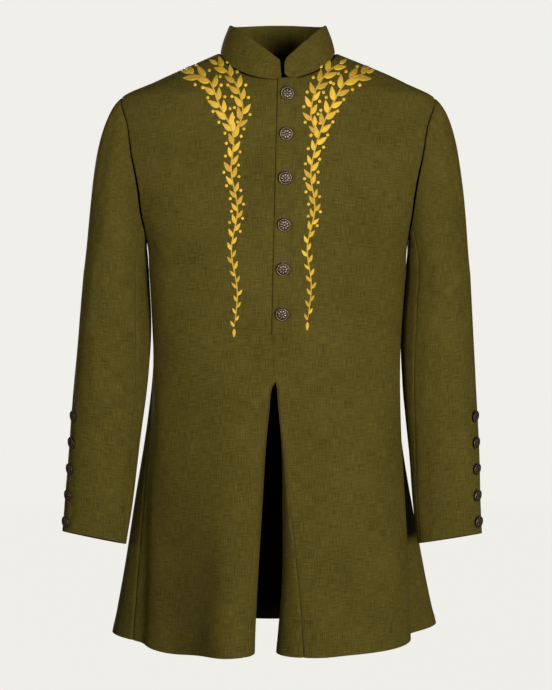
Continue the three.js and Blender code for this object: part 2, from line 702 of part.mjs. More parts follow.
const tunic = new THREE.Group();
const clothPieces = {
  front_left: frontLeft,
  front_right: frontRight,
  back,
  sleeve_left_upper: sleeves.left.upper,
  sleeve_left_under: sleeves.left.under,
  sleeve_right_upper: sleeves.right.upper,
  sleeve_right_under: sleeves.right.under,
  collar,
  placket_top: placketTop,
  placket_under: placketUnder,
  slit_facing_left: facings.left,
  slit_facing_right: facings.right,
};
for (const [name, panel] of Object.entries(clothPieces)) {
  const mesh = new THREE.Mesh(panel.geometry(), new THREE.MeshStandardMaterial(LINEN));
  mesh.name = name;
  tunic.add(mesh);
}
tunic.add(...frontButtons, ...cuffButtons);
tunic.matrixAutoUpdate = false;
tunic.matrix.makeShear(0, 0, 0, 0, -LEAN / HEM_Z, 0);

export default tunic;
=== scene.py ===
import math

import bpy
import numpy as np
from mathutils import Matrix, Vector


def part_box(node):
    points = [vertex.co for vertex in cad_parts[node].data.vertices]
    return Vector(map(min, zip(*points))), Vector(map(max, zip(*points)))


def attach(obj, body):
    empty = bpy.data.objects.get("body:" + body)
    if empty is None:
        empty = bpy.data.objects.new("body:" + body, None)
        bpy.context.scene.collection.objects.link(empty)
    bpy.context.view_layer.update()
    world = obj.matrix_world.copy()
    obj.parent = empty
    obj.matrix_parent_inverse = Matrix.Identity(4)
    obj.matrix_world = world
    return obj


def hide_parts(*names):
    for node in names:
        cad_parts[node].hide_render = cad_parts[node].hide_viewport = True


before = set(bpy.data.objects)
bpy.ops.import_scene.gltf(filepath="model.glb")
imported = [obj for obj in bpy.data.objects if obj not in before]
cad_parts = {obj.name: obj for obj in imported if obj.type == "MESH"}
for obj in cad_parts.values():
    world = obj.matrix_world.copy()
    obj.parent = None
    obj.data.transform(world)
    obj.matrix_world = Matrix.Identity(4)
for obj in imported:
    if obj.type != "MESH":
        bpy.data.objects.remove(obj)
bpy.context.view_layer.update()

# The linen tunic as it looks: cloth, seams, stitching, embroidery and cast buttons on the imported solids.
#
# Tables and functions are in millimetres: +Z up, front towards -Y, the wearer's left towards +X.
# to_frame() turns points into metres in the row's frame. The body, sleeves and collar have the form
# of the solids, at a finer pitch and with creases.


def table(columns, *rows):
    """A table with named columns: each column's name and its values."""
    return dict(zip(columns.split(), np.array(rows, float).T))


def rows_of(rows, columns):
    """The rows of a table, one at a time, with the named columns."""
    return zip(*(rows[column] for column in columns.split()))


# ---------------------------------------------------------------- the form, as in the solids

HEM_Z = -894
SLIT_TOP_Z = -484
NECK_HALF = 88.5
NECK_FRONT_DROP = 46
NECK_FRONT_CURVE = 1.25
NECK_BACK_RISE = 4
SHOULDER_Z = -68
SHOULDER_SEAM_FORWARD = 7
UNDERARM_Z = -285
ARMHOLE_BITE_FRONT = 26
ARMHOLE_BITE_BACK = 27
SLEEVE_RING_Z = -335
CUFF = {"left": (-738, 9), "right": (-737, 11)}  # height, and rise of the outer side
CUFF_FRONT_RISE = 6
SLEEVE_SHIFT = (1, -4.5)  # at the ring and at the cuff
CAP_SHARE = 0.4  # of a sleeve seam's turn that falls in the cap
HINDARM = (-60, 10)  # the two long seams of a sleeve, at the armhole and at the cuff
FOREARM = (140, 150)
PLACKET_WIDTH = 28
PLACKET_BOTTOM_Z = -424
FRONT_BUTTONS = 6
CUFF_BUTTONS = 5  # on each cuff
LEAN = 5  # how far the hem hangs towards the wearer's right of the neck
FOLD_GROWTH = 1.4

BODY = table(
    "z left right front back full",
    (4, 79, 79.5, 34, 68, 0),
    (0, 88.5, 88.5, 38, 70, 0),
    (-30, 163, 155.5, 71, 89, -0.01),
    (-46, 197, 190, 88, 98, -0.02),
    (-68, 240, 236.5, 98, 107, -0.03),
    (-114, 249, 248, 108, 117, -0.04),
    (-153, 249, 249, 114, 121, -0.03),
    (-186, 241, 241, 117, 123, -0.02),
    (-240, 221, 221, 119, 122, 0),
    (-285, 201, 200, 120, 121, 0.02),
    (-340, 196.5, 195, 120, 119, 0.03),
    (-450, 190.3, 187.3, 117, 114, 0.03),
    (-560, 192, 190, 121, 121, 0.03),
    (-700, 199.5, 198.5, 131, 138, 0.03),
    (-894, 208, 208, 142, 158, 0.03),
)
FOLDS = table(
    "angle spread push top",
    (-2, 11, -17, -500),
    (18, 9, 8, -500),
    (101, 8, -10, -430),
    (121, 15, 88, -410),
    (-20, 10, 16, -400),
    (-50, 26, -34, -340),
    (-86, 8, -9, -430),
    (-107, 17, 54, -400),
    (139, 10, -12, -500),
    (158, 9, 8, -540),
    (181, 11, -8, -470),
    (-157, 9, 9, -560),
    (-135, 10, -12, -500),
)
HEM_DROP = {"angle": -58, "spread": 28, "drop": 12, "top": -600}
EDGE = table(
    "z left right",
    (-46, 0.9, 0.9),
    (-226, -2.4, -2.4),
    (-424, -5.6, -5.6),
    (-484, -3.3, -3.3),
    (-500, 1.4, -10.1),
    (-534, 4.4, -14.5),
    (-600, 12.1, -20.2),
    (-690, 22.3, -26.8),
    (-796, 34.8, -35.5),
    (-894, 41.9, -43.6),
)
FACINGS = {
    "left": table(
        "z start end width",
        (-500, 92, 130, 14),
        (-534, 84, 126, 30),
        (-600, 68, 116, 42),
        (-760, 19, 97, 54),
        (-894, -14, 66, 58),
    ),
    "right": table(
        "z start end width",
        (-484, 14, 14, 1.5),
        (-492, 16, 20, 7),
        (-500, 50, 80, 14),
        (-534, 58, 104, 28),
        (-600, 62, 106, 40),
        (-760, 38, 104, 48),
        (-894, 14, 96, 52),
    ),
}
SLEEVE = table(
    "z across along half depth turn",
    (-335, 246, 3, 48.2, 70, 8),
    (-420, 246.3, 4, 54.3, 66, 12),
    (-500, 250.7, -2, 55.8, 60, 8),
    (-600, 258.9, -11, 53.4, 51, 0),
    (-690, 265.2, -19, 51, 43, -8),
    (-760, 271.7, -25, 49, 39, -12),
)
CAP_LEAVE = {"out": 2, "down": 50, "forward": 50, "crown_out": 138, "crown_down": 50}
CAP_ARRIVE = {"down": 50, "crown_out": 39, "crown_down": 210}

COLLAR_TOP_HALF = 74
COLLAR_TOP_Y = -6
COLLAR_TOP_DEPTH = {"front": 78, "back": 68}
COLLAR_TOP_FRONT_Z = {"left": -26, "right": -15}
COLLAR_TOP_SIDE_Z = 41
COLLAR_TOP_BACK_RISE = 7
COLLAR_BOW = 1.5
COLLAR_LIFT = 0.5
COLLAR_INSET = 0.8
COLLAR_END_RIGHT = 3.2
COLLAR_END_LEFT = 7.4
COLLAR_CUTBACK = 5.6
COLLAR_CORNER = {"right": 3, "left": 8}

# ---------------------------------------------------------------- what the cloth adds

PITCH = 4.2  # of the cloth's grid
FINE = (0, 0.8, 2, 3.8)  # its closer steps beside an edge
CLOTH = 1.5
BAND = 1.3
BAND_SEWN_LIFT = 0.3
COLLAR_WALL = 2.4
LAY_GAP = 0.4
SEAM_DIP = 1.9  # a seam draws the cloth in this far,
SEAM_REACH = 1.6  # and this far to each side
SLEEVE_SEAM_DIP = 0.95
COLLAR_SEAM_DIP = 0.6
HEM_DEPTH = 14  # from the edge up to the stitch line
HEM_RISE = 0.35  # how far the doubled cloth of a hem stands out
CUFF_HEM = 21

# Lengths that set how many steps each grid has.
ARMHOLE_RUN = 300
YOKE_RUN = 80
FRONT_WIDTH = 300
BACK_HALF_WIDTH = 310
SLEEVE_TUBE = 403  # from the ring to the cuff
SLEEVE_TUBE_RUN = 380  # the same without the closer rows at the cuff
SLEEVE_CAP_RUN = 260
SLEEVE_PIECE_WIDTH = {"upper": 200, "under": 150}
COLLAR_HEIGHT = 50
COLLAR_COLUMNS = 190
COLLAR_CROWDING = 0.7  # of its columns towards the two ends, from 0 to 1
BAND_COLUMNS = 12
BAND_RUN = 360
FACING_RUN = 375
FACING_WIDTH = 50

# Creases on the body: from one place to another (ring angle and height), how far the line bows,
# how wide it is, and how far it pushes the cloth out.
BODY_CREASES = table(
    "angle run to_angle to_run bow width push",
    (-8, -458, 0, -490, 3, 5, 2.2),
    (-12, -472, -3, -496, -2, 5, -2),
    (9, -452, 1, -486, -3, 5, -1.6),
    (62, -90, 30, -150, 8, 16, 1.6),
    (66, -180, 38, -250, -10, 15, -1.4),
    (-62, -95, -34, -150, -8, 14, 1.5),
    (-68, -190, -42, -270, 10, 16, -1.5),
    (70, -270, 48, -330, 6, 10, 1.8),
    (-70, -276, -46, -345, -6, 11, 1.9),
    (-90, -350, -92, -480, 0, 12, 2.8),
    (-20, -350, -48, -385, 5, 13, -1.2),
    (26, -380, 52, -405, 4, 13, 1.2),
    (120, -120, 150, -170, 10, 15, -2),
    (112, -240, 150, -300, -8, 12, 2.4),
    (-116, -230, -152, -310, 9, 12, 2.2),
    (-122, -130, -148, -200, -9, 16, -1.8),
    (165, -330, 195, -352, 6, 12, -1.6),
    (150, -400, 185, -430, -6, 14, 1.6),
    (-128, -380, -160, -425, 7, 12, -1.7),
    (128, -520, 134, -760, 8, 12, 1.8),
    (-150, -560, -146, -800, -8, 14, 2),
)

# Creases on the sleeves. The run goes down the sleeve, from 0 at the armhole to 1 at the ring and
# 2 at the cuff.
SLEEVE_CREASES = table(
    "side angle run to_angle to_run bow width push",
    (1, 165, 0.62, 60, 1.02, 6, 9, 1.6),
    (1, 172, 0.95, 80, 1.2, -5, 10, -1.7),
    (1, 150, 1.3, 50, 1.45, 5, 12, 1.3),
    (1, -40, 1.2, -130, 1.42, -6, 10, 2),
    (1, -60, 1.5, -150, 1.36, 5, 11, -1.8),
    (1, 60, 1.7, 140, 1.62, 3, 12, 1),
    (-1, 180, 0.9, 180, 1.6, 0, 14, 2),
    (-1, 168, 0.6, 66, 0.95, -6, 10, 1.5),
    (-1, 170, 1.02, 70, 1.22, 5, 9, 1.6),
    (-1, 155, 1.36, 60, 1.5, -5, 12, -1.2),
    (-1, -45, 1.28, -140, 1.46, 6, 10, -2),
    (-1, -70, 1.6, -150, 1.5, -4, 12, 1.7),
    (-1, 50, 1.58, 130, 1.72, -3, 13, 1),
)
SLEEVE_STEP = 340  # the length of one step of run, for creases and waves
BODY_DEGREE = 3.3  # the length of one degree round the body, and round a sleeve
SLEEVE_DEGREE = 1.0

# A slow waviness all over: whole waves round the body, waves up and down, its phase and its height.
WAVES = table(
    "round run phase push",
    (3, 0.011, 0.4, 0.5),
    (5, 0.017, 2.1, 0.4),
    (8, 0.008, 4.4, 0.35),
    (11, 0.023, 1.2, 0.3),
    (14, 0.031, 5.3, 0.22),
    (17, 0.019, 3.3, 0.2),
)

# Cut sizes in metres, and the area of cloth in each piece.
CUTS = {
    "front_left": (0.274, 0.91, 0.219),
    "front_right": (0.272, 0.91, 0.212),
    "back": (0.78, 0.91, 0.505),
    "sleeve_left_upper": (0.293, 0.67, 0.102),
    "sleeve_left_under": (0.24, 0.63, 0.099),
    "sleeve_right_upper": (0.293, 0.67, 0.103),
    "sleeve_right_under": (0.24, 0.63, 0.097),
    "collar": (0.52, 0.055, 0.0226),
    "placket_top": (0.029, 0.387, 0.0108),
    "placket_under": (0.043, 0.387, 0.0161),
    "slit_facing_left": (0.058, 0.4, 0.0188),
    "slit_facing_right": (0.052, 0.42, 0.0173),
}

# ---------------------------------------------------------------- small helpers


def lerp(a, b, t):
    return a + (b - a) * t


def sin_deg(angle):
    return np.sin(np.radians(angle))


def cos_deg(angle):
    return np.cos(np.radians(angle))


def unit(vectors):
    return vectors / np.maximum(np.linalg.norm(vectors, axis=-1, keepdims=True), 1e-9)


def vectors(x, y, z):
    return np.stack(np.broadcast_arrays(x, y, z), axis=-1).astype(float)


def name_of(side):
    return "left" if side > 0 else "right"


def hermite(start, leave, end, arrive, t):
    return (
        start * (2 * t**3 - 3 * t**2 + 1)
        + leave * (t**3 - 2 * t**2 + t)
        + end * (3 * t**2 - 2 * t**3)
        + arrive * (t**3 - t**2)
    )


def at(rows, column, z):
    """One column of a table at height z, on a smooth curve through its rows, which run downwards."""
    heights, values = rows["z"], rows[column]
    z = np.clip(z, heights[-1], heights[0])
    last = len(heights) - 1
    row = np.arange(last + 1)
    before, after = np.maximum(row - 1, 0), np.minimum(row + 1, last)
    slopes = (values[after] - values[before]) / (heights[after] - heights[before])
    i = np.clip(np.searchsorted(-heights, -z, side="right") - 1, 0, last - 1)
    step = heights[i + 1] - heights[i]
    t = (z - heights[i]) / step
    return hermite(values[i], slopes[i] * step, values[i + 1], slopes[i + 1] * step, t)


def to_frame(points, lean=LEAN):
    """Millimetres to metres, with the whole garment's lean."""
    leaning = np.array(points, float)
    leaning[..., 0] -= leaning[..., 2] * lean / HEM_Z
    return leaning * 0.001


# ---------------------------------------------------------------- surfaces


def crease_push(creases, angle, run, round_mm, run_mm=1.0):
    """How far creases push the cloth out. A degree is round_mm long, and a step of run is run_mm."""
    total = 0.0
    for a0, r0, a1, r1, bow, width, push in rows_of(
        creases, "angle run to_angle to_run bow width push"
    ):
        line = np.array([(a1 - a0) * round_mm, (r1 - r0) * run_mm])
        length = np.hypot(*line)
        x = ((angle - a0 + 180) % 360 - 180) * round_mm
        y = (run - r0) * run_mm
        t = (x * line[0] + y * line[1]) / length**2
        away = (x * line[1] - y * line[0]) / length - bow * 4 * t * (1 - t)
        fade = np.clip(1 - (2 * t - 1) ** 2, 0, 1) ** 1.5
        ridge = np.exp(-((away / width) ** 2)) - 0.4 * np.exp(-((away / width / 2) ** 2))
        total = total + push * fade * ridge
    return total


def wave_push(angle, run):
    total = 0.0
    for count, rate, phase, push in rows_of(WAVES, "round run phase push"):
        round_wave = np.sin(np.radians(angle) * count + phase)
        total = total + push * round_wave * np.cos(run * rate + phase)
    return total


def opened(middle, spread, top, angle, z):
    """How far a fold of the skirt has opened: from 0 where it begins to 1 at its middle on the hem."""
    away = (angle - middle + 180) % 360 - 180
    growth = np.clip((top - z) / (top - HEM_Z), 0, None) ** FOLD_GROWTH
    return growth * np.exp(-((away / spread) ** 2))


def fold_push(angle, z):
    folds = rows_of(FOLDS, "angle spread push top")
    return sum(push * opened(middle, spread, top, angle, z) for middle, spread, push, top in folds)


def hem_drop(angle, z):
    place = HEM_DROP["angle"], HEM_DROP["spread"], HEM_DROP["top"]
    return HEM_DROP["drop"] * opened(*place, angle, z)


def half_of(side, z):
    return np.where(np.asarray(side) > 0, at(BODY, "left", z), at(BODY, "right", z))


def ring_point(angle, z):
    """A point of the body at height z. Angle 0 is the centre front and 90 the wearer's left."""
    s, c = sin_deg(angle), cos_deg(angle)
    half = half_of(s, z)
    depth = np.where(c > 0, at(BODY, "front", z), at(BODY, "back", z))
    full = 1 + at(BODY, "full", z) * sin_deg(2 * np.asarray(angle)) ** 2
    out = unit(vectors(s / half, -c / depth, 0))
    on_ring = vectors(half * s * full, -depth * c * full, z - hem_drop(angle, z))
    return on_ring + out * np.asarray(fold_push(angle, z))[..., None]


def torso_normal(angle, z):
    across = ring_point(angle + 0.5, z) - ring_point(angle - 0.5, z)
    up = ring_point(angle, z + 1) - ring_point(angle, z - 1)
    return unit(np.cross(across, up))


def torso(angle, z, lift=0.0):
    """The cloth of the body with its creases, lifted off along the normal, and the normal."""
    angle, z = np.broadcast_arrays(np.asarray(angle, float), np.asarray(z, float))
    normal = torso_normal(angle, z)
    calm = np.clip((z - HEM_Z) / 30, 0.4, 1)  # the stitched hem creases less
    push = (crease_push(BODY_CREASES, angle, z, BODY_DEGREE) + wave_push(angle, z)) * calm
    hem = HEM_RISE * (z < HEM_Z + HEM_DEPTH)
    return ring_point(angle, z) + normal * (push + hem + lift)[..., None], normal


def angle_of_x(x, z):
    return np.degrees(np.arcsin(x / half_of(x, z)))


def neck_spot(angle):
    """Height of the neck seam, and how far across the ring it lies."""
    s, c = sin_deg(angle), cos_deg(angle)
    z = np.where(c > 0, -NECK_FRONT_DROP * np.abs(c) ** NECK_FRONT_CURVE, NECK_BACK_RISE * c * c)
    return z, np.minimum(1, NECK_HALF * np.abs(s) / half_of(s, z))


def neck_point(angle):
    z, across = neck_spot(angle)
    forward = np.degrees(np.arcsin(across))
    side = np.where(sin_deg(angle) < 0, -1, 1)
    return ring_point(side * np.where(cos_deg(angle) > 0, forward, 180 - forward), z)


def armhole_height(around):
    return lerp(UNDERARM_Z, SHOULDER_Z, (1 + cos_deg(around)) / 2)


def armhole_point(around, side):
    s = sin_deg(around)
    bite = np.where(s > 0, ARMHOLE_BITE_FRONT, ARMHOLE_BITE_BACK)
    return torso(side * (90 - bite * s), armhole_height(around))[0]


def sleeve_ring(angle, z, side):
    s, c = sin_deg(angle), cos_deg(angle)
    turn = np.radians(at(SLEEVE, "turn", z))
    down = (z - SLEEVE_RING_Z) / (CUFF["right"][0] - SLEEVE_RING_Z)
    x = at(SLEEVE, "half", z) * c
    y = -at(SLEEVE, "depth", z) * s
    return vectors(
        lerp(*SLEEVE_SHIFT, down)
        + side * (at(SLEEVE, "across", z) + x * np.cos(turn) - y * np.sin(turn)),
        at(SLEEVE, "along", z) + x * np.sin(turn) + y * np.cos(turn),
        z,
    )


def sleeve_form(angle, run, side):
    """A sleeve without creases. Angle 0 is its outer side and 90 its front."""
    angle, run = np.broadcast_arrays(np.asarray(angle, float), np.asarray(run, float))
    s, c = sin_deg(angle), cos_deg(angle)
    crown = (1 + c) / 2
    height, rise = CUFF[name_of(side)]
    end = height + rise * c + CUFF_FRONT_RISE * s
    tube = sleeve_ring(angle, lerp(SLEEVE_RING_Z, end, np.clip(run - 1, 0, 1)), side)
    leave = vectors(
        side * (CAP_LEAVE["out"] + CAP_LEAVE["crown_out"] * crown),
        -CAP_LEAVE["forward"] * s,
        -CAP_LEAVE["down"] - CAP_LEAVE["crown_down"] * crown,
    )
    arrive = vectors(
        side * CAP_ARRIVE["crown_out"] * crown,
        0,
        -CAP_ARRIVE["down"] - CAP_ARRIVE["crown_down"] * crown,
    )
    ring = sleeve_ring(angle, np.full(angle.shape, float(SLEEVE_RING_Z)), side)
    cap = hermite(armhole_point(angle, side), leave, ring, arrive, np.clip(run, 0, 1)[..., None])
    return np.where((run > 1)[..., None], tube, cap)


def sleeve(angle, run, side, lift=0.0):
    """The cloth of a sleeve with its creases, lifted off along the normal, and the normal."""
    angle, run = np.broadcast_arrays(np.asarray(angle, float), np.asarray(run, float))
    forwards = sleeve_form(angle + 0.5, run, side) - sleeve_form(angle - 0.5, run, side)
    low, high = np.maximum(run - 0.005, 0), np.minimum(run + 0.005, 2)
    down = sleeve_form(angle, high, side) - sleeve_form(angle, low, side)
    normal = unit(np.cross(forwards, down)) * side
    mine = SLEEVE_CREASES["side"] == side
    creases = {key: column[mine] for key, column in SLEEVE_CREASES.items()}
    calm = np.clip(run / 0.15, 0, 1) * np.clip((2 - run) / 0.1, 0.3, 1)  # less at both ends
    push = crease_push(creases, angle, run, SLEEVE_DEGREE, SLEEVE_STEP)
    push = push + wave_push(angle + side * 40, run * SLEEVE_STEP)  # the two sleeves differ
    return sleeve_form(angle, run, side) + normal * (push * calm + lift)[..., None], normal


# ---------------------------------------------------------------- grids


def spaced(length, pitch=PITCH):
    """Shares from 0 to 1 of a length, closer together near both ends."""
    fine = np.array(FINE) / length
    count = max(2, round((length - 2 * FINE[-1]) / pitch))
    middle = np.linspace(fine[-1], 1 - fine[-1], count + 1)
    return np.concatenate([fine[:-1], middle, 1 - fine[-2::-1]])


def body_rows():
    """Rows from the hem to the neck: height, the armhole's own angle, and 0 to 1 up the yoke."""
    hem = HEM_Z + np.array([0, 0.8, 2, 4, 8, 11.5, 13, 13.9, 14.1, 15, 16.5, 19])
    up = np.linspace(hem[-1] + PITCH, UNDERARM_Z, round((UNDERARM_Z - hem[-1]) / PITCH))
    skirt = np.concatenate([hem, up])
    around = np.linspace(180, 0, round(ARMHOLE_RUN / PITCH))[1:]
    rise = spaced(YOKE_RUN)[1:]
    z = np.concatenate([skirt, armhole_height(around), np.full(len(rise), SHOULDER_Z)])
    arounds = np.concatenate([np.full(len(skirt), 180), around, np.zeros(len(rise))])
    rises = np.concatenate([np.zeros(len(skirt) + len(around)), rise])
    return z[None, :], arounds[None, :], rises[None, :]


def beside_edge(side, widths, z):
    """The x of a line that runs down the front, this many placket widths from the centre-front edge."""
    return at(EDGE, name_of(side), z) + side * widths * PLACKET_WIDTH


def neck_angle_of_x(x):
    return np.degrees(np.arcsin(x / NECK_HALF))


def yoke_angle(low, across, rise, share):
    angle = np.degrees(np.arcsin(lerp(sin_deg(low), across, rise)))
    angle = np.where(low > 90, 180 - angle, angle)
    return np.where(share == 1, low - SHOULDER_SEAM_FORWARD * rise, angle)


def front_cells(side):
    """Ring angles and heights of a front's grid, in columns from the centre-front edge to the side seam."""
    z, around, rise = body_rows()
    band = spaced(PLACKET_WIDTH)[:-1, None]
    band_top, _ = neck_spot(neck_angle_of_x(beside_edge(side, band, -NECK_FRONT_DROP)))
    band_z = lerp(z, band_top, rise)
    band_angle = angle_of_x(beside_edge(side, band, band_z), band_z)
    share = spaced(FRONT_WIDTH)[:, None]
    side_angle = 90 - ARMHOLE_BITE_FRONT * sin_deg(around)
    low = lerp(np.abs(angle_of_x(beside_edge(side, 1, z), z)), side_angle, share)
    top_angle = lerp(neck_angle_of_x(beside_edge(side, 1, -NECK_FRONT_DROP)), side * 90, share)
    top_z, across = neck_spot(top_angle)
    angle = side * yoke_angle(low, across, rise, share)
    cells = np.vstack([band_angle, angle]), np.vstack([band_z, lerp(z, top_z, rise)])
    return cells if side > 0 else (cells[0][::-1], cells[1][::-1])


def back_cells():
    """The same for the back, in columns from the wearer's left side seam to the right one."""
    z, around, rise = body_rows()
    share = spaced(BACK_HALF_WIDTH)[:, None]
    low = lerp(180, 90 + ARMHOLE_BITE_BACK * sin_deg(around), share)
    top_z, across = neck_spot(lerp(180, 90, share))
    angle = yoke_angle(low, across, rise, share)
    height = lerp(z, top_z, rise)
    return np.vstack([angle[::-1], 360 - angle[1:]]), np.vstack([height[::-1], height[1:]])


def sleeve_cells(piece, side):
    """Angles and runs of half a sleeve, in rows from the cuff up to the armhole."""
    hem = 2 - np.array([0, 0.8, 2, 5, 10, 15, 20, 20.9, 21.1, 22, 24]) / SLEEVE_TUBE
    tube = np.linspace(hem[-1] - PITCH / SLEEVE_TUBE, 1, round(SLEEVE_TUBE_RUN / PITCH))
    cap = np.linspace(1, 0.02, round(SLEEVE_CAP_RUN / PITCH))[1:]
    run = np.concatenate([hem, tube, cap, [0.012, 0.006, 0.002, 0]])[None, :]
    turned = np.where(run <= 1, run * CAP_SHARE, CAP_SHARE + (run - 1) * (1 - CAP_SHARE))
    hind, fore = lerp(*HINDARM, turned), lerp(*FOREARM, turned)
    share = spaced(SLEEVE_PIECE_WIDTH[piece])[:, None]
    angle = lerp(hind, fore, share) if piece == "upper" else lerp(fore, hind + 360, share)
    run = np.broadcast_to(run, angle.shape)
    return (angle[::-1], run[::-1]) if side > 0 else (angle, run)


def lengths(points, axis):
    """Distance along the grid from its first column or row."""
    steps = np.linalg.norm(np.diff(points, axis=axis), axis=-1)
    return np.insert(np.cumsum(steps, axis=axis), 0, 0, axis=axis)


def grid_normals(points):
    across = np.gradient(points, axis=0)
    up = np.gradient(points, axis=1)
    return unit(np.cross(across, up))


def draw_in(points, normals, edges, depth=SEAM_DIP):
    """Sinks the cloth beside the named edges, as a seam does."""
    across, up = lengths(points, 0), lengths(points, 1)
    away = {"first": across, "last": across[-1] - across, "low": up, "high": up[:, -1:] - up}
    sink = sum(np.exp(-((away[edge] / SEAM_REACH) ** 2)) for edge in edges)
    return points - normals * (depth * np.minimum(sink, 1))[..., None]


def thread_map(points, column, start=0.0):
    """Millimetres along the weft, counted from start at one column, and along the warp."""
    weft = lengths(points, 0)
    weft = weft - weft[column] + start
    return np.stack([weft, lengths(points, 1), np.zeros(weft.shape)], axis=-1)


# ---------------------------------------------------------------- making objects


def add_mesh(name, points, faces, materials, threads, face_slots=None, lean=LEAN):
    """A smooth mesh in the frame. threads is a vector for each point, which the shaders read."""
    mesh = bpy.data.meshes.new(name)
    mesh.from_pydata(to_frame(points, lean).tolist(), [], faces)
    for material in materials:
        mesh.materials.append(material)
    mesh.polygons.foreach_set("use_smooth", [True] * len(mesh.polygons))
    if face_slots is not None:
        mesh.polygons.foreach_set("material_index", face_slots)
    layer = mesh.attributes.new("threads", "FLOAT_VECTOR", "POINT")
    layer.data.foreach_set("vector", np.asarray(threads, np.float32).ravel())
    thing = bpy.data.objects.new(name, mesh)
    bpy.context.scene.collection.objects.link(thing)
    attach(thing, "root")
    return thing


def grid_faces(columns, rows, first=0, flip=False):
    """Quads of a grid whose points are numbered up each column in turn."""
    i, j = np.meshgrid(np.arange(columns - 1), np.arange(rows - 1), indexing="ij")
    a = (first + i * rows + j).ravel()
    quads = np.stack([a, a + rows, a + rows + 1, a + 1], axis=1)
    return quads[:, ::-1] if flip else quads


def shell(name, points, normals, wall, threads, materials):
    """A closed piece of cloth: an outer grid, an inner one, and a rounded rim between them."""
    columns, rows = points.shape[:2]
    wall = np.broadcast_to(wall, (columns, rows))[..., None]
    inner = points - normals * wall
    number = np.arange(columns * rows).reshape(columns, rows)
    loop = np.concatenate([number[:, 0], number[-1, 1:], number[-2::-1, -1], number[0, -2:0:-1]])
    flat, flat_inner, flat_normals = (grid.reshape(-1, 3) for grid in (points, inner, normals))
    edge = flat[loop]
    along = unit(np.roll(edge, -1, axis=0) - np.roll(edge, 1, axis=0))
    rim_out = np.cross(along, flat_normals[loop]) * wall.reshape(-1, 1)[loop] * 0.35
    rim = (edge + flat_inner[loop]) / 2 + rim_out
    count = columns * rows
    here, after = np.arange(len(loop)), np.roll(np.arange(len(loop)), -1)
    middle = 2 * count
    outer_rim = np.stack([loop, middle + here, middle + after, loop[after]], axis=1)
    inner_rim = np.stack([middle + here, count + loop, count + loop[after], middle + after], axis=1)
    outside, inside = grid_faces(columns, rows), grid_faces(columns, rows, count, flip=True)
    faces = np.concatenate([outside, inside, outer_rim, inner_rim])
    # The inner faces take the second material; for the body, sleeves and facings it is the linen with
    # painted shade.
    slots = np.zeros(len(faces), int)
    slots[len(outside) : len(outside) + len(inside)] = 1
    flat_threads = threads.reshape(-1, 3)
    piece = add_mesh(
        name,
        np.concatenate([flat, flat_inner, rim]),
        faces.tolist(),
        materials,
        np.concatenate([flat_threads, flat_threads, flat_threads[loop]]),
        slots.tolist(),
    )
    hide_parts(name.removesuffix("_cloth"))
    return piece


# ---------------------------------------------------------------- materials


# Linear colours, the light and the dark end of each material.
LINEN_COLOURS = (0.12, 0.0925, 0.0155, 1), (0.032, 0.024, 0.0024, 1)
# The inside of the cloth is the same linen painted much darker: painted shade for the garment's shaded
# inside.
INSIDE_SHADE_COLOURS = (0.012, 0.009, 0.002, 1), (0.006, 0.0045, 0.001, 1)
GOLD_COLOURS = (0.82, 0.52, 0.045, 1), (0.26, 0.11, 0.004, 1)
THREAD_COLOURS = (0.09, 0.068, 0.013, 1), (0.028, 0.02, 0.0035, 1)
# The bronze's light end lies on a button's raised relief as rubbed wear with a painted highlight, and its
# dark end in the recesses as patina with painted shade.
BRONZE_COLOURS = (0.5, 0.35, 0.21, 1), (0.022, 0.015, 0.01, 1)
WEAVE_PITCH = 1.1
GOLD_PITCH = 0.7


def fill_inputs(tree, target, inputs):
    """Links each socket that is given, and sets each value."""
    for key, value in inputs.items():
        if isinstance(value, bpy.types.NodeSocket):
            tree.links.new(value, target.inputs[key])
        else:
            target.inputs[key].default_value = value


def node(tree, kind, inputs=None, **settings):
    made = tree.nodes.new(kind)
    for key, value in settings.items():
        setattr(made, key, value)
    fill_inputs(tree, made, inputs or {})
    return made


def threads_of(tree):
    return node(tree, "ShaderNodeAttribute", attribute_name="threads").outputs["Vector"]


def split_of(tree, vector):
    return node(tree, "ShaderNodeSeparateXYZ", {0: vector}).outputs


def bump(tree, height, strength, distance, **more):
    inputs = {"Strength": strength, "Distance": distance, "Height": height, **more}
    return node(tree, "ShaderNodeBump", inputs).outputs[0]


def new_material(name):
    """A plain material, its node tree and its surface shader."""
    material = bpy.data.materials.new(name)
    material.use_nodes = True
    return material, material.node_tree, material.node_tree.nodes["Principled BSDF"]


def noise(tree, vector, scale, detail=2.0):
    """Noise whose grains are 1/scale long along each axis."""
    placed = node(tree, "ShaderNodeMapping", {"Vector": vector, "Scale": scale})
    grain = node(tree, "ShaderNodeTexNoise", {"Vector": placed.outputs[0], "Scale": 1.0, "Detail": detail})
    return grain.outputs["Fac"]


def math_node(tree, operation, a, b=0.0, c=0.0):
    return node(tree, "ShaderNodeMath", {0: a, 1: b, 2: c}, operation=operation).outputs[0]


def wave_node(tree, value, pitch):
    return math_node(tree, "SINE", math_node(tree, "MULTIPLY", value, 2 * math.pi / pitch))


def mix_colour(tree, factor, colours):
    light, dark = colours
    made = node(tree, "ShaderNodeMix", {0: factor, 6: dark, 7: light}, data_type="RGBA")
    return made.outputs[2]


def share_between(tree, value, low, high):
    return node(tree, "ShaderNodeMapRange", {"Value": value, "From Min": low, "From Max": high}).outputs[0]


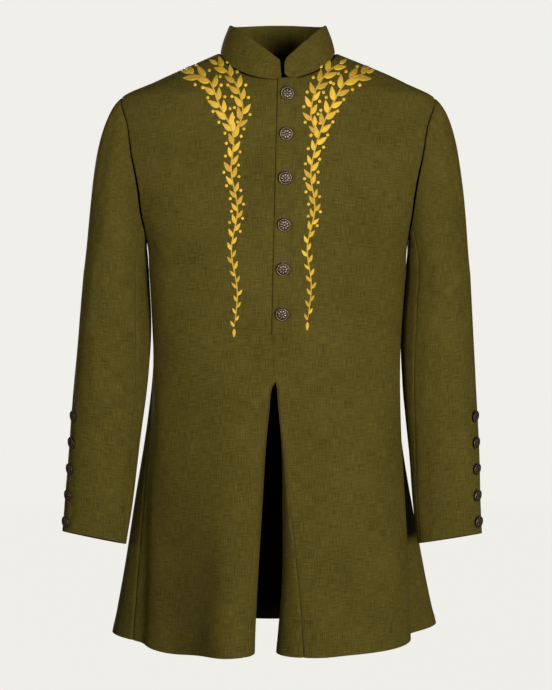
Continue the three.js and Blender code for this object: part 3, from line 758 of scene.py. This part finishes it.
def linen(name, colours, relief=True):
    """Plain-weave linen: slubs along both thread systems, fine grain and soft clouds of colour."""
    material, tree, surface = new_material(name)
    threads = threads_of(tree)
    weft = noise(tree, threads, (0.05, 1.25, 1))
    warp = noise(tree, threads, (1.25, 0.05, 1))
    grain = noise(tree, threads, (1.4, 1.4, 1), 3.0)
    cloud = noise(tree, threads, (0.012, 0.012, 1))
    slubs = math_node(tree, "ADD", weft, warp)
    tone = math_node(tree, "MULTIPLY_ADD", slubs, 0.8, grain)
    tone = math_node(tree, "MULTIPLY_ADD", cloud, 0.25, tone)
    looks = {
        "Base Color": mix_colour(tree, share_between(tree, tone, 1.12, 1.72), colours),
        "Roughness": 0.9,
        "Diffuse Roughness": 0.3,
        "Specular IOR Level": 0.08,
        "Sheen Weight": 0.03,
        "Sheen Roughness": 0.4,
        "Sheen Tint": colours[0],
    }
    if relief:
        split = split_of(tree, threads)
        weave = math_node(
            tree,
            "MULTIPLY",
            wave_node(tree, split[0], WEAVE_PITCH),
            wave_node(tree, split[1], WEAVE_PITCH),
        )
        fine = bump(tree, math_node(tree, "MULTIPLY_ADD", weave, 0.25, slubs), 0.45, 0.0005)
        soft = noise(tree, threads, (0.03, 0.03, 1))
        looks["Normal"] = bump(tree, soft, 0.5, 0.002, Normal=fine)
    fill_inputs(tree, surface, looks)
    return material


def gold_thread():
    """Shiny embroidery thread. The z of its threads attribute is the shade of each motif."""
    material, tree, surface = new_material("gold_thread")
    threads = threads_of(tree)
    split = split_of(tree, threads)
    slant = math_node(tree, "MULTIPLY_ADD", math_node(tree, "ABSOLUTE", split[1]), 0.7, split[0])
    strand = wave_node(tree, slant, GOLD_PITCH)
    fleck = noise(tree, threads, (1.2, 1.2, 1))
    shade = math_node(tree, "MULTIPLY_ADD", strand, 0.12, math_node(tree, "ADD", split[2], fleck))
    looks = {
        "Base Color": mix_colour(tree, share_between(tree, shade, 0.3, 1.3), GOLD_COLOURS),
        "Normal": bump(tree, strand, 0.5, 0.0002),
        "Roughness": 0.45,
        "Specular IOR Level": 0.4,
    }
    fill_inputs(tree, surface, looks)
    return material


def sewing_thread():
    material, tree, surface = new_material("sewing_thread")
    twist = noise(tree, threads_of(tree), (3, 3, 3))
    fill_inputs(
        tree, surface, {"Base Color": mix_colour(tree, twist, THREAD_COLOURS), "Roughness": 0.6}
    )
    return material


def bronze():
    """Darkened cast bronze. The x of its threads attribute is how far a spot is painted bright: on the
    raised relief rubbed wear and a painted highlight, in the recesses patina and painted shade.
    """
    material, tree, surface = new_material("bronze")
    split = split_of(tree, threads_of(tree))
    place = node(tree, "ShaderNodeTexCoord").outputs["Object"]
    pits = noise(tree, place, (900, 900, 900), 3.0)
    rubbed_and_highlit = math_node(tree, "MULTIPLY_ADD", math_node(tree, "SUBTRACT", pits, 0.5), 0.9, split[0])
    looks = {
        "Base Color": mix_colour(tree, share_between(tree, rubbed_and_highlit, 0.35, 1.15), BRONZE_COLOURS),
        "Normal": bump(tree, pits, 0.3, 0.0003),
        "Metallic": 0.65,
        "Roughness": 0.42,
    }
    fill_inputs(tree, surface, looks)
    return material


OLIVE = linen("linen", LINEN_COLOURS)
# Painted shade: the inner faces of the body, sleeves and slit facings get this darker copy of the linen.
OLIVE_INSIDE_SHADED = linen("linen_inside_painted_shade", INSIDE_SHADE_COLOURS, relief=False)
GOLD = gold_thread()
THREAD = sewing_thread()
BRONZE = bronze()

# ---------------------------------------------------------------- cloth pieces


def body_piece(name, cells, column, start):
    points, normals = torso(*cells)
    points = draw_in(points, normals, ["first", "last", "high"])
    threads = thread_map(points, column, start)
    return shell(f"{name}_cloth", points, normals, CLOTH, threads, [OLIVE, OLIVE_INSIDE_SHADED])


def make_body():
    heights = body_rows()[0][0]
    made = {}
    for side, edge_column in ((1, 0), (-1, -1)):
        name = f"front_{name_of(side)}"
        edge_x = beside_edge(side, 0, heights)
        made[name] = body_piece(name, front_cells(side), edge_column, edge_x)
    cells = back_cells()
    made["back"] = body_piece("back", cells, cells[0].shape[0] // 2, 0)
    return made


def make_sleeves():
    made = {}
    for side in (1, -1):
        for piece in ("upper", "under"):
            angle, run = sleeve_cells(piece, side)
            points, normals = sleeve(angle, run, side)
            points = draw_in(points, normals, ["high"])
            points = draw_in(points, normals, ["first", "last"], SLEEVE_SEAM_DIP)
            threads = thread_map(points, points.shape[0] // 2)
            name = f"sleeve_{name_of(side)}_{piece}"
            made[name] = shell(f"{name}_cloth", points, normals, CLOTH, threads, [OLIVE, OLIVE_INSIDE_SHADED])
    return made


def collar_point(share, t):
    """The stand, from the wearer's right end round the back to the left end. t climbs from the seam."""
    cutback = COLLAR_CUTBACK * np.clip(1 - t / 0.5, 0, None) ** 2
    left_end = COLLAR_END_LEFT + cutback - 360
    angle = lerp(COLLAR_END_RIGHT, left_end, share)
    s, c = sin_deg(angle), cos_deg(angle)
    out = vectors(s, -c, 0)
    foot = neck_point(angle) - out * COLLAR_INSET + [0, 0, COLLAR_LIFT]
    right_half = share < 0.5
    front_z = np.where(right_half, COLLAR_TOP_FRONT_Z["right"], COLLAR_TOP_FRONT_Z["left"])
    outward = np.where(right_half, -s, s)
    top_z = np.where(
        c > 0,
        lerp(front_z, COLLAR_TOP_SIDE_Z, outward),
        COLLAR_TOP_SIDE_Z + COLLAR_TOP_BACK_RISE * c * c,
    )
    depth = np.where(c > 0, COLLAR_TOP_DEPTH["front"], COLLAR_TOP_DEPTH["back"])
    a_degree = math.radians(1) * NECK_HALF
    for away, radius in (
        ((COLLAR_END_RIGHT - angle) * a_degree, COLLAR_CORNER["right"]),
        ((angle - left_end) * a_degree, COLLAR_CORNER["left"]),
    ):
        short = np.clip(radius - away, 0, radius)
        top_z = top_z - (radius - np.sqrt(radius**2 - short**2))
    top = vectors(COLLAR_TOP_HALF * s, COLLAR_TOP_Y - depth * c, top_z)
    return lerp(foot, top, t[..., None]) + out * (COLLAR_BOW * np.sin(np.pi * t))[..., None]


def collar_grid():
    share = np.linspace(0, 1, COLLAR_COLUMNS)
    share = (share - COLLAR_CROWDING * np.sin(2 * np.pi * share) / (2 * np.pi))[::-1, None]
    share, t = np.broadcast_arrays(share, spaced(COLLAR_HEIGHT)[None, :])
    return collar_point(share, t)


def make_collar():
    points = collar_grid()
    normals = grid_normals(points)
    points = draw_in(points, normals, ["low"], COLLAR_SEAM_DIP)
    threads = thread_map(points, points.shape[0] // 2)
    return {"collar": shell("collar_cloth", points, normals, COLLAR_WALL, threads, [OLIVE, OLIVE])}


def band_cells(side, first, last):
    """Ring angles and heights of a placket band, between two distances from the centre-front edge."""
    shares = np.linspace(first, last, BAND_COLUMNS)[:, None]
    low = np.linspace(PLACKET_BOTTOM_Z, SHOULDER_Z, round(BAND_RUN / PITCH))
    top, _ = neck_spot(neck_angle_of_x(beside_edge(side, shares, -NECK_FRONT_DROP)))
    rise = np.linspace(0, 1, 9)[1:]
    z = np.hstack([np.broadcast_to(low, (BAND_COLUMNS, len(low))), lerp(SHOULDER_Z, top, rise)])
    return angle_of_x(beside_edge(side, shares, z), z), z


def band_lift(share):
    """Height of the top band over the front: full at its free edge, sewn down flat at the other."""
    return lerp(LAY_GAP + BAND, BAND_SEWN_LIFT, np.clip(share, 0, 1) ** 1.5)


def make_plackets():
    lift = band_lift(np.linspace(0, 1, BAND_COLUMNS)[:, None])
    wall = lift - BAND_SEWN_LIFT / 2
    points, normals = torso(*band_cells(1, 0, 1), lift)
    threads = thread_map(points, 0)
    band = shell("placket_top_cloth", points, normals, wall, threads, [OLIVE, OLIVE])
    points, normals = torso(*band_cells(1, -0.5, 1), -CLOTH - LAY_GAP)
    threads = thread_map(points, 0)
    under = shell("placket_under_cloth", points, normals, BAND, threads, [OLIVE, OLIVE])
    return {"placket_top": band, "placket_under": under}


def facing_grid(side):
    """A slit facing goes on from the panel's slit edge and rolls into the garment."""
    rows = FACINGS[name_of(side)]
    hem = HEM_Z + np.array([0, 0.8, 2, 4, 8, 11.5, 13, 15, 19])
    z = np.concatenate([hem, np.linspace(hem[-1] + PITCH, rows["z"][0], round(FACING_RUN / PITCH))])
    angle = angle_of_x(beside_edge(side, 0, z), z)
    start = torso(angle, z)[0]
    towards = unit(ring_point(angle, z) - ring_point(angle + side, z))
    inside = vectors(-towards[:, 1], towards[:, 0], 0) * -side
    shares = spaced(FACING_WIDTH)
    columns = [start]
    for before, share in zip(shares, shares[1:]):
        turn = lerp(at(rows, "start", z), at(rows, "end", z), (before + share) / 2)[:, None]
        step = towards * cos_deg(turn) + inside * sin_deg(turn)
        columns.append(columns[-1] + step * at(rows, "width", z)[:, None] * (share - before))
    return np.array(columns[::-1] if side > 0 else columns)


def make_facings():
    made = {}
    for side, seam in ((1, "last"), (-1, "first")):
        points = facing_grid(side)
        normals = grid_normals(points)
        points = draw_in(points, normals, [seam])
        name = f"slit_facing_{name_of(side)}"
        threads = thread_map(points, 0)
        made[name] = shell(f"{name}_cloth", points, normals, CLOTH, threads, [OLIVE, OLIVE_INSIDE_SHADED])
    return made


# ---------------------------------------------------------------- stitching

STITCH_PITCH = 3.1
STITCH_LENGTH = 2.3
STITCH_RADIUS = 0.3
STITCH_SIDES = 6
STITCH_FORM = table(  # along the stitch in lengths, and its height over the cloth in radii
    "along height",
    (-0.5, -0.9),
    (-0.36, 0.1),
    (0, 0.45),
    (0.36, 0.1),
    (0.5, -0.9),
)
EDGE_STITCH = 3  # from an edge to the stitches that hold it down
BOX_LOW_Z = PLACKET_BOTTOM_Z + 3  # the stitched box at the foot of the placket
BOX_HIGH_Z = PLACKET_BOTTOM_Z + 15
PLACKET_STITCH_TOP_Z = -60
SLIT_STITCH_TOP_Z = SLIT_TOP_Z - 30
SLIT_STITCH_LOW_Z = HEM_Z + 4


def run_of(line):
    """Distance along a line from its start to each of its points."""
    return np.insert(np.cumsum(np.linalg.norm(np.diff(line, axis=0), axis=1)), 0, 0)


def along_line(place, run, values):
    return np.stack([np.interp(place, run, column) for column in values.T], axis=-1)


def stitches(name, lines):
    """Running stitches along lines of points and normals that lie on the cloth."""
    stations = STITCH_FORM["along"] * STITCH_LENGTH
    heights = STITCH_FORM["height"] * STITCH_RADIUS
    turn = np.linspace(0, 2 * np.pi, STITCH_SIDES, endpoint=False)
    side_way = np.broadcast_to(STITCH_RADIUS * np.sin(turn), (len(stations), STITCH_SIDES))[..., None]
    up_way = (heights[:, None] + STITCH_RADIUS * np.cos(turn))[..., None]
    size = len(stations) * STITCH_SIDES
    points, faces = [], []
    for line, normals in lines:
        run = run_of(line)
        for place in np.arange(STITCH_PITCH / 2, run[-1], STITCH_PITCH):
            centre = along_line(place, run, line)
            ahead = along_line(place + 0.5, run, line)
            up = unit(along_line(place, run, normals))
            along = unit(ahead - centre)
            beside = np.cross(up, along)
            first = len(points) * size
            rings = centre + along * stations[:, None, None] + up * up_way + beside * side_way
            points.append(rings.reshape(-1, 3))
            for k in range(len(stations) - 1):
                for m in range(STITCH_SIDES):
                    a = first + k * STITCH_SIDES + m
                    b = first + k * STITCH_SIDES + (m + 1) % STITCH_SIDES
                    faces.append([a, a + STITCH_SIDES, b + STITCH_SIDES, b])
            faces.append([first + m for m in range(STITCH_SIDES)])
            faces.append([first + size - 1 - m for m in range(STITCH_SIDES)])
    points = np.concatenate(points)
    return add_mesh(name, points, faces, [THREAD], points)


def front_line(side, x_from_edge, z, lift=0.0):
    """A line down the front, this far from the centre-front edge."""
    x = beside_edge(side, x_from_edge / PLACKET_WIDTH, z)
    return torso(angle_of_x(x, z), z, lift)


def band_line(x_from_edge, z):
    """A line on the top band of the placket."""
    return front_line(1, x_from_edge, z, band_lift(x_from_edge / PLACKET_WIDTH))


def make_stitching():
    hem_z = HEM_Z + HEM_DEPTH
    front_ends = {side: float(angle_of_x(beside_edge(side, 0, hem_z), hem_z)) for side in (1, -1)}
    made = {}
    sewn_side = PLACKET_WIDTH - EDGE_STITCH
    down = np.linspace(PLACKET_STITCH_TOP_Z, BOX_LOW_Z, 120)
    over = np.linspace(EDGE_STITCH, sewn_side, 12)
    made["placket_top"] = stitches(
        "stitching_placket",
        [
            band_line(sewn_side, down),
            band_line(over, BOX_LOW_Z),
            band_line(over, BOX_HIGH_Z),
            band_line(EDGE_STITCH, np.linspace(BOX_LOW_Z, BOX_HIGH_Z, 6)),
        ],
    )
    slit = np.linspace(SLIT_STITCH_TOP_Z, SLIT_STITCH_LOW_Z, 90)
    for side in (1, -1):
        name = f"front_{name_of(side)}"
        hem = torso(np.linspace(front_ends[side], side * 90, 120), hem_z)
        made[name] = stitches(f"stitching_{name}", [hem, front_line(side, EDGE_STITCH, slit)])
    made["back"] = stitches("stitching_back", [torso(np.linspace(90, 270, 200), hem_z)])
    for side in (1, -1):
        line = sleeve(np.linspace(0, 360, 120), 2 - CUFF_HEM / SLEEVE_TUBE, side)
        name = f"sleeve_{name_of(side)}"
        made[f"{name}_upper"] = stitches(f"stitching_{name}", [line])
    return made


BUTTONHOLE = {"above": 17, "below": 7, "beside": 1.0, "half": 0.85, "tall": 0.75, "ribs": 0.12}
BUTTONHOLE_STEPS = 40


def make_buttonholes():
    """A worked buttonhole behind each front button: a slit with a corded edge on each side."""
    turn = np.linspace(0, np.pi, 6)
    ridge = BUTTONHOLE["tall"] + BUTTONHOLE["ribs"] * np.cos(np.arange(BUTTONHOLE_STEPS) * 2.6)
    side_way = (np.cos(turn)[None, :] * BUTTONHOLE["half"])[..., None]
    up_way = (np.sin(turn)[None, :] * ridge[:, None] - 0.1)[..., None]
    points, faces = [], []
    for k in range(1, FRONT_BUTTONS + 1):
        low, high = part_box(f"button_front_{k}")
        middle_z = ((low + high) / 2 * 1000).z
        z = np.linspace(
            middle_z - BUTTONHOLE["below"], middle_z + BUTTONHOLE["above"], BUTTONHOLE_STEPS
        )
        for offset in (-BUTTONHOLE["beside"], BUTTONHOLE["beside"]):
            line, normal = band_line(PLACKET_WIDTH / 2 + offset, z)
            across = unit(np.cross(normal, np.gradient(line, axis=0)))
            rings = line[:, None, :] + across[:, None, :] * side_way + normal[:, None, :] * up_way
            faces.extend(grid_faces(len(z), len(turn), len(points) * len(z) * len(turn)).tolist())
            points.append(rings.reshape(-1, 3))
    points = np.concatenate(points)
    return add_mesh("buttonholes", points, faces, [THREAD], points)


# ---------------------------------------------------------------- buttons


CAST_RADIUS = 10  # the radius that a button's relief and back are drawn at
CAST_DOME = 1.1
CAST_RELIEF = 2.4  # how much of a button's height its face takes up
BUTTON_TURN = 0.37  # between one button and the next, in radians
BUTTON_STEPS = 72
BUTTON_RINGS = 26


def button_height(r, angle):
    """Relief of a button's face in millimetres: a rosette of eight petals round a knob, in a beaded rim."""
    dome = CAST_DOME * (1 - r**2)
    knob = 0.8 * np.exp(-((r / 0.17) ** 2))
    petals = 0.75 * np.exp(-(((r - 0.48) / 0.2) ** 4)) * np.abs(np.cos(4 * angle)) ** 0.7
    rim = (0.75 + 0.2 * np.cos(26 * angle)) * np.exp(-(((r - 0.88) / 0.075) ** 2))
    return dome + knob + petals + rim


def button_place(cad_node):
    """Foot, axis and radius of a button, measured on its solid."""
    points = np.array([v.co for v in cad_node.data.vertices]) * 1000
    centre = points.mean(axis=0)
    _, _, axes = np.linalg.svd(points - centre)
    axis = axes[2]
    if axis[1] > 0:
        axis = -axis
    along = (points - centre) @ axis
    away = points - centre - along[:, None] * axis
    radius = np.linalg.norm(away, axis=1).max()
    return centre + axis * along.min(), axis, along.max() - along.min(), radius


def make_button(name, cad_node, spin):
    """A cast button: its face, and a back that ends in a shank. It has the lean of the solid it is on."""
    foot, axis, tall, radius = button_place(cad_node)
    scale = radius / CAST_RADIUS
    steps = BUTTON_STEPS
    angle = np.linspace(0, 2 * np.pi, steps, endpoint=False)
    face_r = np.linspace(0.02, 1, BUTTON_RINGS)
    base = tall / scale - CAST_RELIEF
    face_h = button_height(face_r[None, :], angle[:, None] + spin) + base
    back = table(
        "radius height",
        (10, base - 0.4),
        (9.4, base - 1.2),
        (7.5, base - 1.7),
        (2.8, base - 1.6),
        (2.6, 0),
        (0.3, 0),
    )
    back_shape = (steps, len(back["radius"]))
    face_across = np.broadcast_to(face_r * CAST_RADIUS, face_h.shape)
    r = np.hstack([face_across, np.broadcast_to(back["radius"], back_shape)])
    h = np.hstack([face_h, np.broadcast_to(back["height"], back_shape)])
    side_way = unit(np.cross([0, 0, 1.0], axis))
    up_way = np.cross(axis, side_way)
    rim = side_way * np.cos(angle)[:, None] + up_way * np.sin(angle)[:, None]
    points = foot + (rim[:, None, :] * r[..., None] + axis * h[..., None]) * scale
    rows = r.shape[1]
    faces = grid_faces(steps + 1, rows, flip=True) % (steps * rows)
    ends = [[i * rows for i in range(steps)], [i * rows + rows - 1 for i in range(steps)][::-1]]
    # The relief over the dome goes in x of the threads: raised parts are painted bright as rubbed wear and
    # painted highlight, and recesses dark as patina and painted shade.
    wear_and_highlight = np.zeros((steps, rows, 3))
    wear_and_highlight[:, : len(face_r), 0] = (face_h - base - CAST_DOME * (1 - face_r**2)) * 0.95
    return add_mesh(
        name,
        points.reshape(-1, 3),
        faces.tolist() + ends,
        [BRONZE],
        wear_and_highlight.reshape(-1, 3),
        lean=0,
    )


def make_buttons():
    names = [f"button_front_{k}" for k in range(1, FRONT_BUTTONS + 1)]
    for side in ("left", "right"):
        names += [f"button_cuff_{side}_{k}" for k in range(1, CUFF_BUTTONS + 1)]
    for k, name in enumerate(names):
        button = make_button(f"{name}_cast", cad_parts[name], k * BUTTON_TURN)
        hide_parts(name)


# ---------------------------------------------------------------- embroidery: a leafy vine

# The vine's main stem on each front, from its tip up to the shoulder, and a branch towards the collar.
VINES = {
    "right": {
        "stem": (
            "x z",
            (-61, -416),
            (-57, -360),
            (-66, -300),
            (-58, -240),
            (-68, -185),
            (-66, -130),
            (-88, -84),
            (-104, -48),
            (-134, -33),
        ),
        "branch": ("x z", (-66, -128), (-52, -100), (-57, -66), (-74, -36), (-92, -20)),
    },
    "left": {
        "stem": (
            "x z",
            (46, -406),
            (51, -352),
            (45, -296),
            (56, -240),
            (50, -186),
            (62, -132),
            (82, -86),
            (104, -50),
            (136, -33),
        ),
        "branch": ("x z", (61, -130), (50, -102), (56, -66), (74, -36), (94, -20)),
    },
}
VINE_REACH = {"stem": (0.0, 1.0), "branch": (0.6, 0.85)}  # how full each line is at its two ends
VINE_PITCH = 1.5
STEM_WIDTH = (1.7, 3.2)  # these three where the vine is thin, and where it is full
LEAF_GAP = (9.3, 10.54)
LEAF_LENGTH = (10, 25)
LEAF_SLIMNESS = 0.42
BERRIES_FROM = 0.35  # how full the vine is where its berries begin
TIP_LEAF = {"length": 13, "width": 5, "bend": 0.05, "shade": 0.5}
TOP_LEAF = {"length": 16, "width": 7, "bend": 0.1, "shade": 0.6}


def smooth_path(corners):
    """A smooth line through corner points, at an even pitch."""
    corners = np.stack([corners["x"], corners["z"]], axis=1)
    slopes = np.gradient(corners, axis=0)
    fine = np.linspace(0, len(corners) - 1, 400)
    i = np.clip(fine.astype(int), 0, len(corners) - 2)
    line = hermite(corners[i], slopes[i], corners[i + 1], slopes[i + 1], (fine - i)[:, None])
    run = run_of(line)
    return along_line(np.arange(0, run[-1], VINE_PITCH), run, line)


def heading(way):
    return math.atan2(way[1], way[0])


class Embroidery:
    """Satin-stitched motifs, drawn flat in x and z and laid on the front."""

    def __init__(self, name):
        self.name = name
        self.points, self.faces, self.threads, self.count = [], [], [], 0

    def lay(self, flat, height, along, across, shade):
        """Adds a grid of flat points with its height over the cloth and its thread directions."""
        x, z = flat[..., 0], flat[..., 1]
        on_cloth, normal = torso(angle_of_x(x, z), z)
        points = on_cloth + normal * height[..., None]
        columns, rows = height.shape
        i, j = columns // 2, rows // 2
        across_way, up_way = points[i, j] - points[i - 1, j], points[i, j] - points[i, j - 1]
        inside_out = np.dot(np.cross(across_way, up_way), normal[i, j]) < 0
        faces = grid_faces(columns, rows, self.count, flip=inside_out)
        self.points.append(points.reshape(-1, 3))
        self.faces.extend(faces.tolist())
        threads = np.broadcast_to(vectors(along, across, shade), (columns, rows, 3))
        self.threads.append(threads.reshape(-1, 3))
        self.count += columns * rows

    def stem(self, path, width_low, width_high):
        share = np.linspace(0, 1, len(path))
        width = lerp(width_low, width_high, share) * np.clip(np.minimum(share, 1 - share) * 25, 0.15, 1)
        ahead = unit(np.gradient(path, axis=0))
        beside = np.stack([-ahead[:, 1], ahead[:, 0]], axis=1)
        q = np.linspace(-1, 1, 7)
        flat = path[:, None, :] + beside[:, None, :] * (q[None, :] * width[:, None] / 2)[..., None]
        height = np.sqrt(np.clip(1 - q[None, :] ** 2, 0, 1)) * width[:, None] * 0.4 - 0.1
        self.lay(flat, height, share[:, None] * 400, 0, 0.35)

    def leaf(self, foot, direction, length, width, bend, shade):
        t = np.linspace(0, 1, 14)[:, None]
        q = np.linspace(-1, 1, 9)[None, :]
        way = np.array([math.cos(direction), math.sin(direction)])
        beside = np.array([-way[1], way[0]])
        form = np.sin(np.pi * t**0.75) ** 0.85 + 0.03
        x = length * t
        across = q * width / 2 * form
        y = across + bend * length * t**2
        flat = foot + x[..., None] * way + y[..., None] * beside
        dome = np.sqrt(np.clip(1 - q**2, 0, 1)) * form
        vein = np.exp(-((q / 0.16) ** 2))
        self.lay(flat, 1.5 * dome - 0.55 * vein * form - 0.1, x, across, shade)

    def berry(self, centre, radius, shade):
        t = np.linspace(0, 2 * np.pi, 15)[:, None]
        q = np.linspace(1, 0.05, 6)[None, :]
        flat = centre + np.stack([np.cos(t) * q, np.sin(t) * q], axis=-1) * radius
        height = np.sqrt(np.clip(1 - q**2, 0, 1)) * 1.5 - 0.1
        self.lay(flat, np.broadcast_to(height, flat.shape[:2]), q * radius, 0, shade)

    def finish(self):
        threads = np.concatenate(self.threads)
        return add_mesh(self.name, np.concatenate(self.points), self.faces, [GOLD], threads)


def make_embroidery():
    made = {}
    random = np.random.default_rng(7)
    for name, lines in VINES.items():
        work = Embroidery(f"embroidery_{name}")
        for line, (low, high) in VINE_REACH.items():
            path = smooth_path(table(*lines[line]))
            work.stem(path, lerp(*STEM_WIDTH, low), lerp(*STEM_WIDTH, high))
            place, turn = 4.0, 1
            while place < len(path) * VINE_PITCH - 3:
                i = int(place / VINE_PITCH)
                share = lerp(low, high, i / len(path))
                ahead = path[min(i + 1, len(path) - 1)] - path[max(i - 1, 0)]
                length = lerp(*LEAF_LENGTH, share**1.3) * random.uniform(0.9, 1.1)
                direction = heading(ahead) + turn * random.uniform(0.6, 0.85)
                width, bend = length * LEAF_SLIMNESS, -0.16 * turn
                work.leaf(path[i], direction, length, width, bend, random.uniform(0.25, 0.75))
                if share > BERRIES_FROM:
                    out = direction + turn * 0.85
                    offset = np.array([math.cos(out), math.sin(out)]) * length * 0.6
                    work.berry(path[i] + offset, 1.9 + share, random.uniform(0.3, 0.8))
                turn = -turn
                place += lerp(*LEAF_GAP, share)
            work.leaf(path[-1], heading(path[-1] - path[-3]), **TOP_LEAF)
            if line == "stem":
                work.leaf(path[0], heading(path[0] - path[2]), **TIP_LEAF)
        made[f"front_{name}"] = work.finish()
    return made


# ---------------------------------------------------------------- stage, lights and camera

# These sizes are in metres and in pixels of the picture.
CAMERA_DISTANCE = 3.0
CAMERA_HEIGHT = -0.275
FOCAL_PX = 1961
SENSOR_MM = 36
CENTRE_PX = (277.7, 233.0)
PICTURE_PX = (552, 690)
FLOOR_Z = -1.5
STAGE_RADIUS = 6.0
STAGE_SWEEP = 2.0
WALL_TOP_Z = 7.0


def add_stage():
    """A plain pale floor that sweeps up into a wall on all sides, and lights nothing."""
    steps = 64
    sweep = np.linspace(0, math.pi / 2, 9)
    radius = np.append(STAGE_RADIUS + STAGE_SWEEP * np.sin(sweep), STAGE_RADIUS + STAGE_SWEEP)
    height = np.append(FLOOR_Z + STAGE_SWEEP * (1 - np.cos(sweep)), WALL_TOP_Z)
    around = np.linspace(0, 2 * math.pi, steps, endpoint=False)[:, None]
    points = vectors(radius * np.cos(around), radius * np.sin(around), height)
    rows = len(radius)
    wall = grid_faces(steps + 1, rows) % (steps * rows)
    floor = [k * rows for k in range(steps)]
    mesh = bpy.data.meshes.new("backdrop")
    mesh.from_pydata(points.reshape(-1, 3).tolist(), [], wall.tolist() + [floor])
    mesh.polygons.foreach_set("use_smooth", [True] * len(mesh.polygons))
    material, tree, surface = new_material("backdrop")
    looks = {
        "Base Color": (0.05, 0.05, 0.048, 1),
        "Roughness": 1.0,
        "Emission Color": (0.871, 0.863, 0.823, 1),
        "Emission Strength": 0.99,
    }
    fill_inputs(tree, surface, looks)
    mesh.materials.append(material)
    backdrop = bpy.data.objects.new("backdrop", mesh)
    backdrop.visible_diffuse = False
    backdrop.visible_glossy = False
    backdrop.visible_shadow = False
    bpy.context.scene.collection.objects.link(backdrop)


def add_area_light(name, place, target, size, power, spread=180):
    light = bpy.data.lights.new(name, "AREA")
    light.shape = "DISK"
    light.size = size
    light.energy = power
    light.spread = math.radians(spread)
    lamp = bpy.data.objects.new(name, light)
    lamp.location = place
    lamp.rotation_euler = (Vector(target) - Vector(place)).to_track_quat("-Z", "Y").to_euler()
    lamp.visible_camera = False
    bpy.context.scene.collection.objects.link(lamp)


def add_lights():
    world = bpy.data.worlds.new("studio")
    world.use_nodes = True
    background = world.node_tree.nodes["Background"]
    fill_inputs(world.node_tree, background, {"Color": (1, 0.99, 0.97, 1), "Strength": 0.07})
    bpy.context.scene.world = world
    add_area_light("key", (1.5, -3.65, -0.5), (0, 0, -0.55), 1.7, 166)
    add_area_light("fill", (-1.7, -2.6, -0.1), (0, 0, -0.15), 0.8, 1.5, spread=34)
    add_area_light("back", (-1.2, 4.0, 0.4), (0, 0, -0.4), 2.0, 130)


def add_camera():
    camera = bpy.data.cameras.new("camera")
    wide, tall = PICTURE_PX
    camera.sensor_fit = "AUTO"
    camera.sensor_width = SENSOR_MM
    camera.lens = SENSOR_MM * FOCAL_PX / tall
    camera.shift_x = (wide / 2 - CENTRE_PX[0]) / tall
    camera.shift_y = (CENTRE_PX[1] - tall / 2) / tall
    eye = bpy.data.objects.new("camera", camera)
    eye.location = (0, -CAMERA_DISTANCE, CAMERA_HEIGHT)
    eye.rotation_euler = (math.pi / 2, 0, 0)
    bpy.context.scene.collection.objects.link(eye)
    bpy.context.scene.camera = eye
    bpy.context.scene.view_settings.view_transform = "Standard"


# ---------------------------------------------------------------- the tunic

cloth = {**make_body(), **make_sleeves(), **make_collar(), **make_plackets(), **make_facings()}
stitching = make_stitching()
embroidery = make_embroidery()
buttonholes = make_buttonholes()
make_buttons()
for name, (width, length, area) in CUTS.items():
    beside = [group[name] for group in (stitching, embroidery) if name in group]
    if name == "placket_top":
        beside.append(buttonholes)
add_stage()
add_lights()
add_camera()
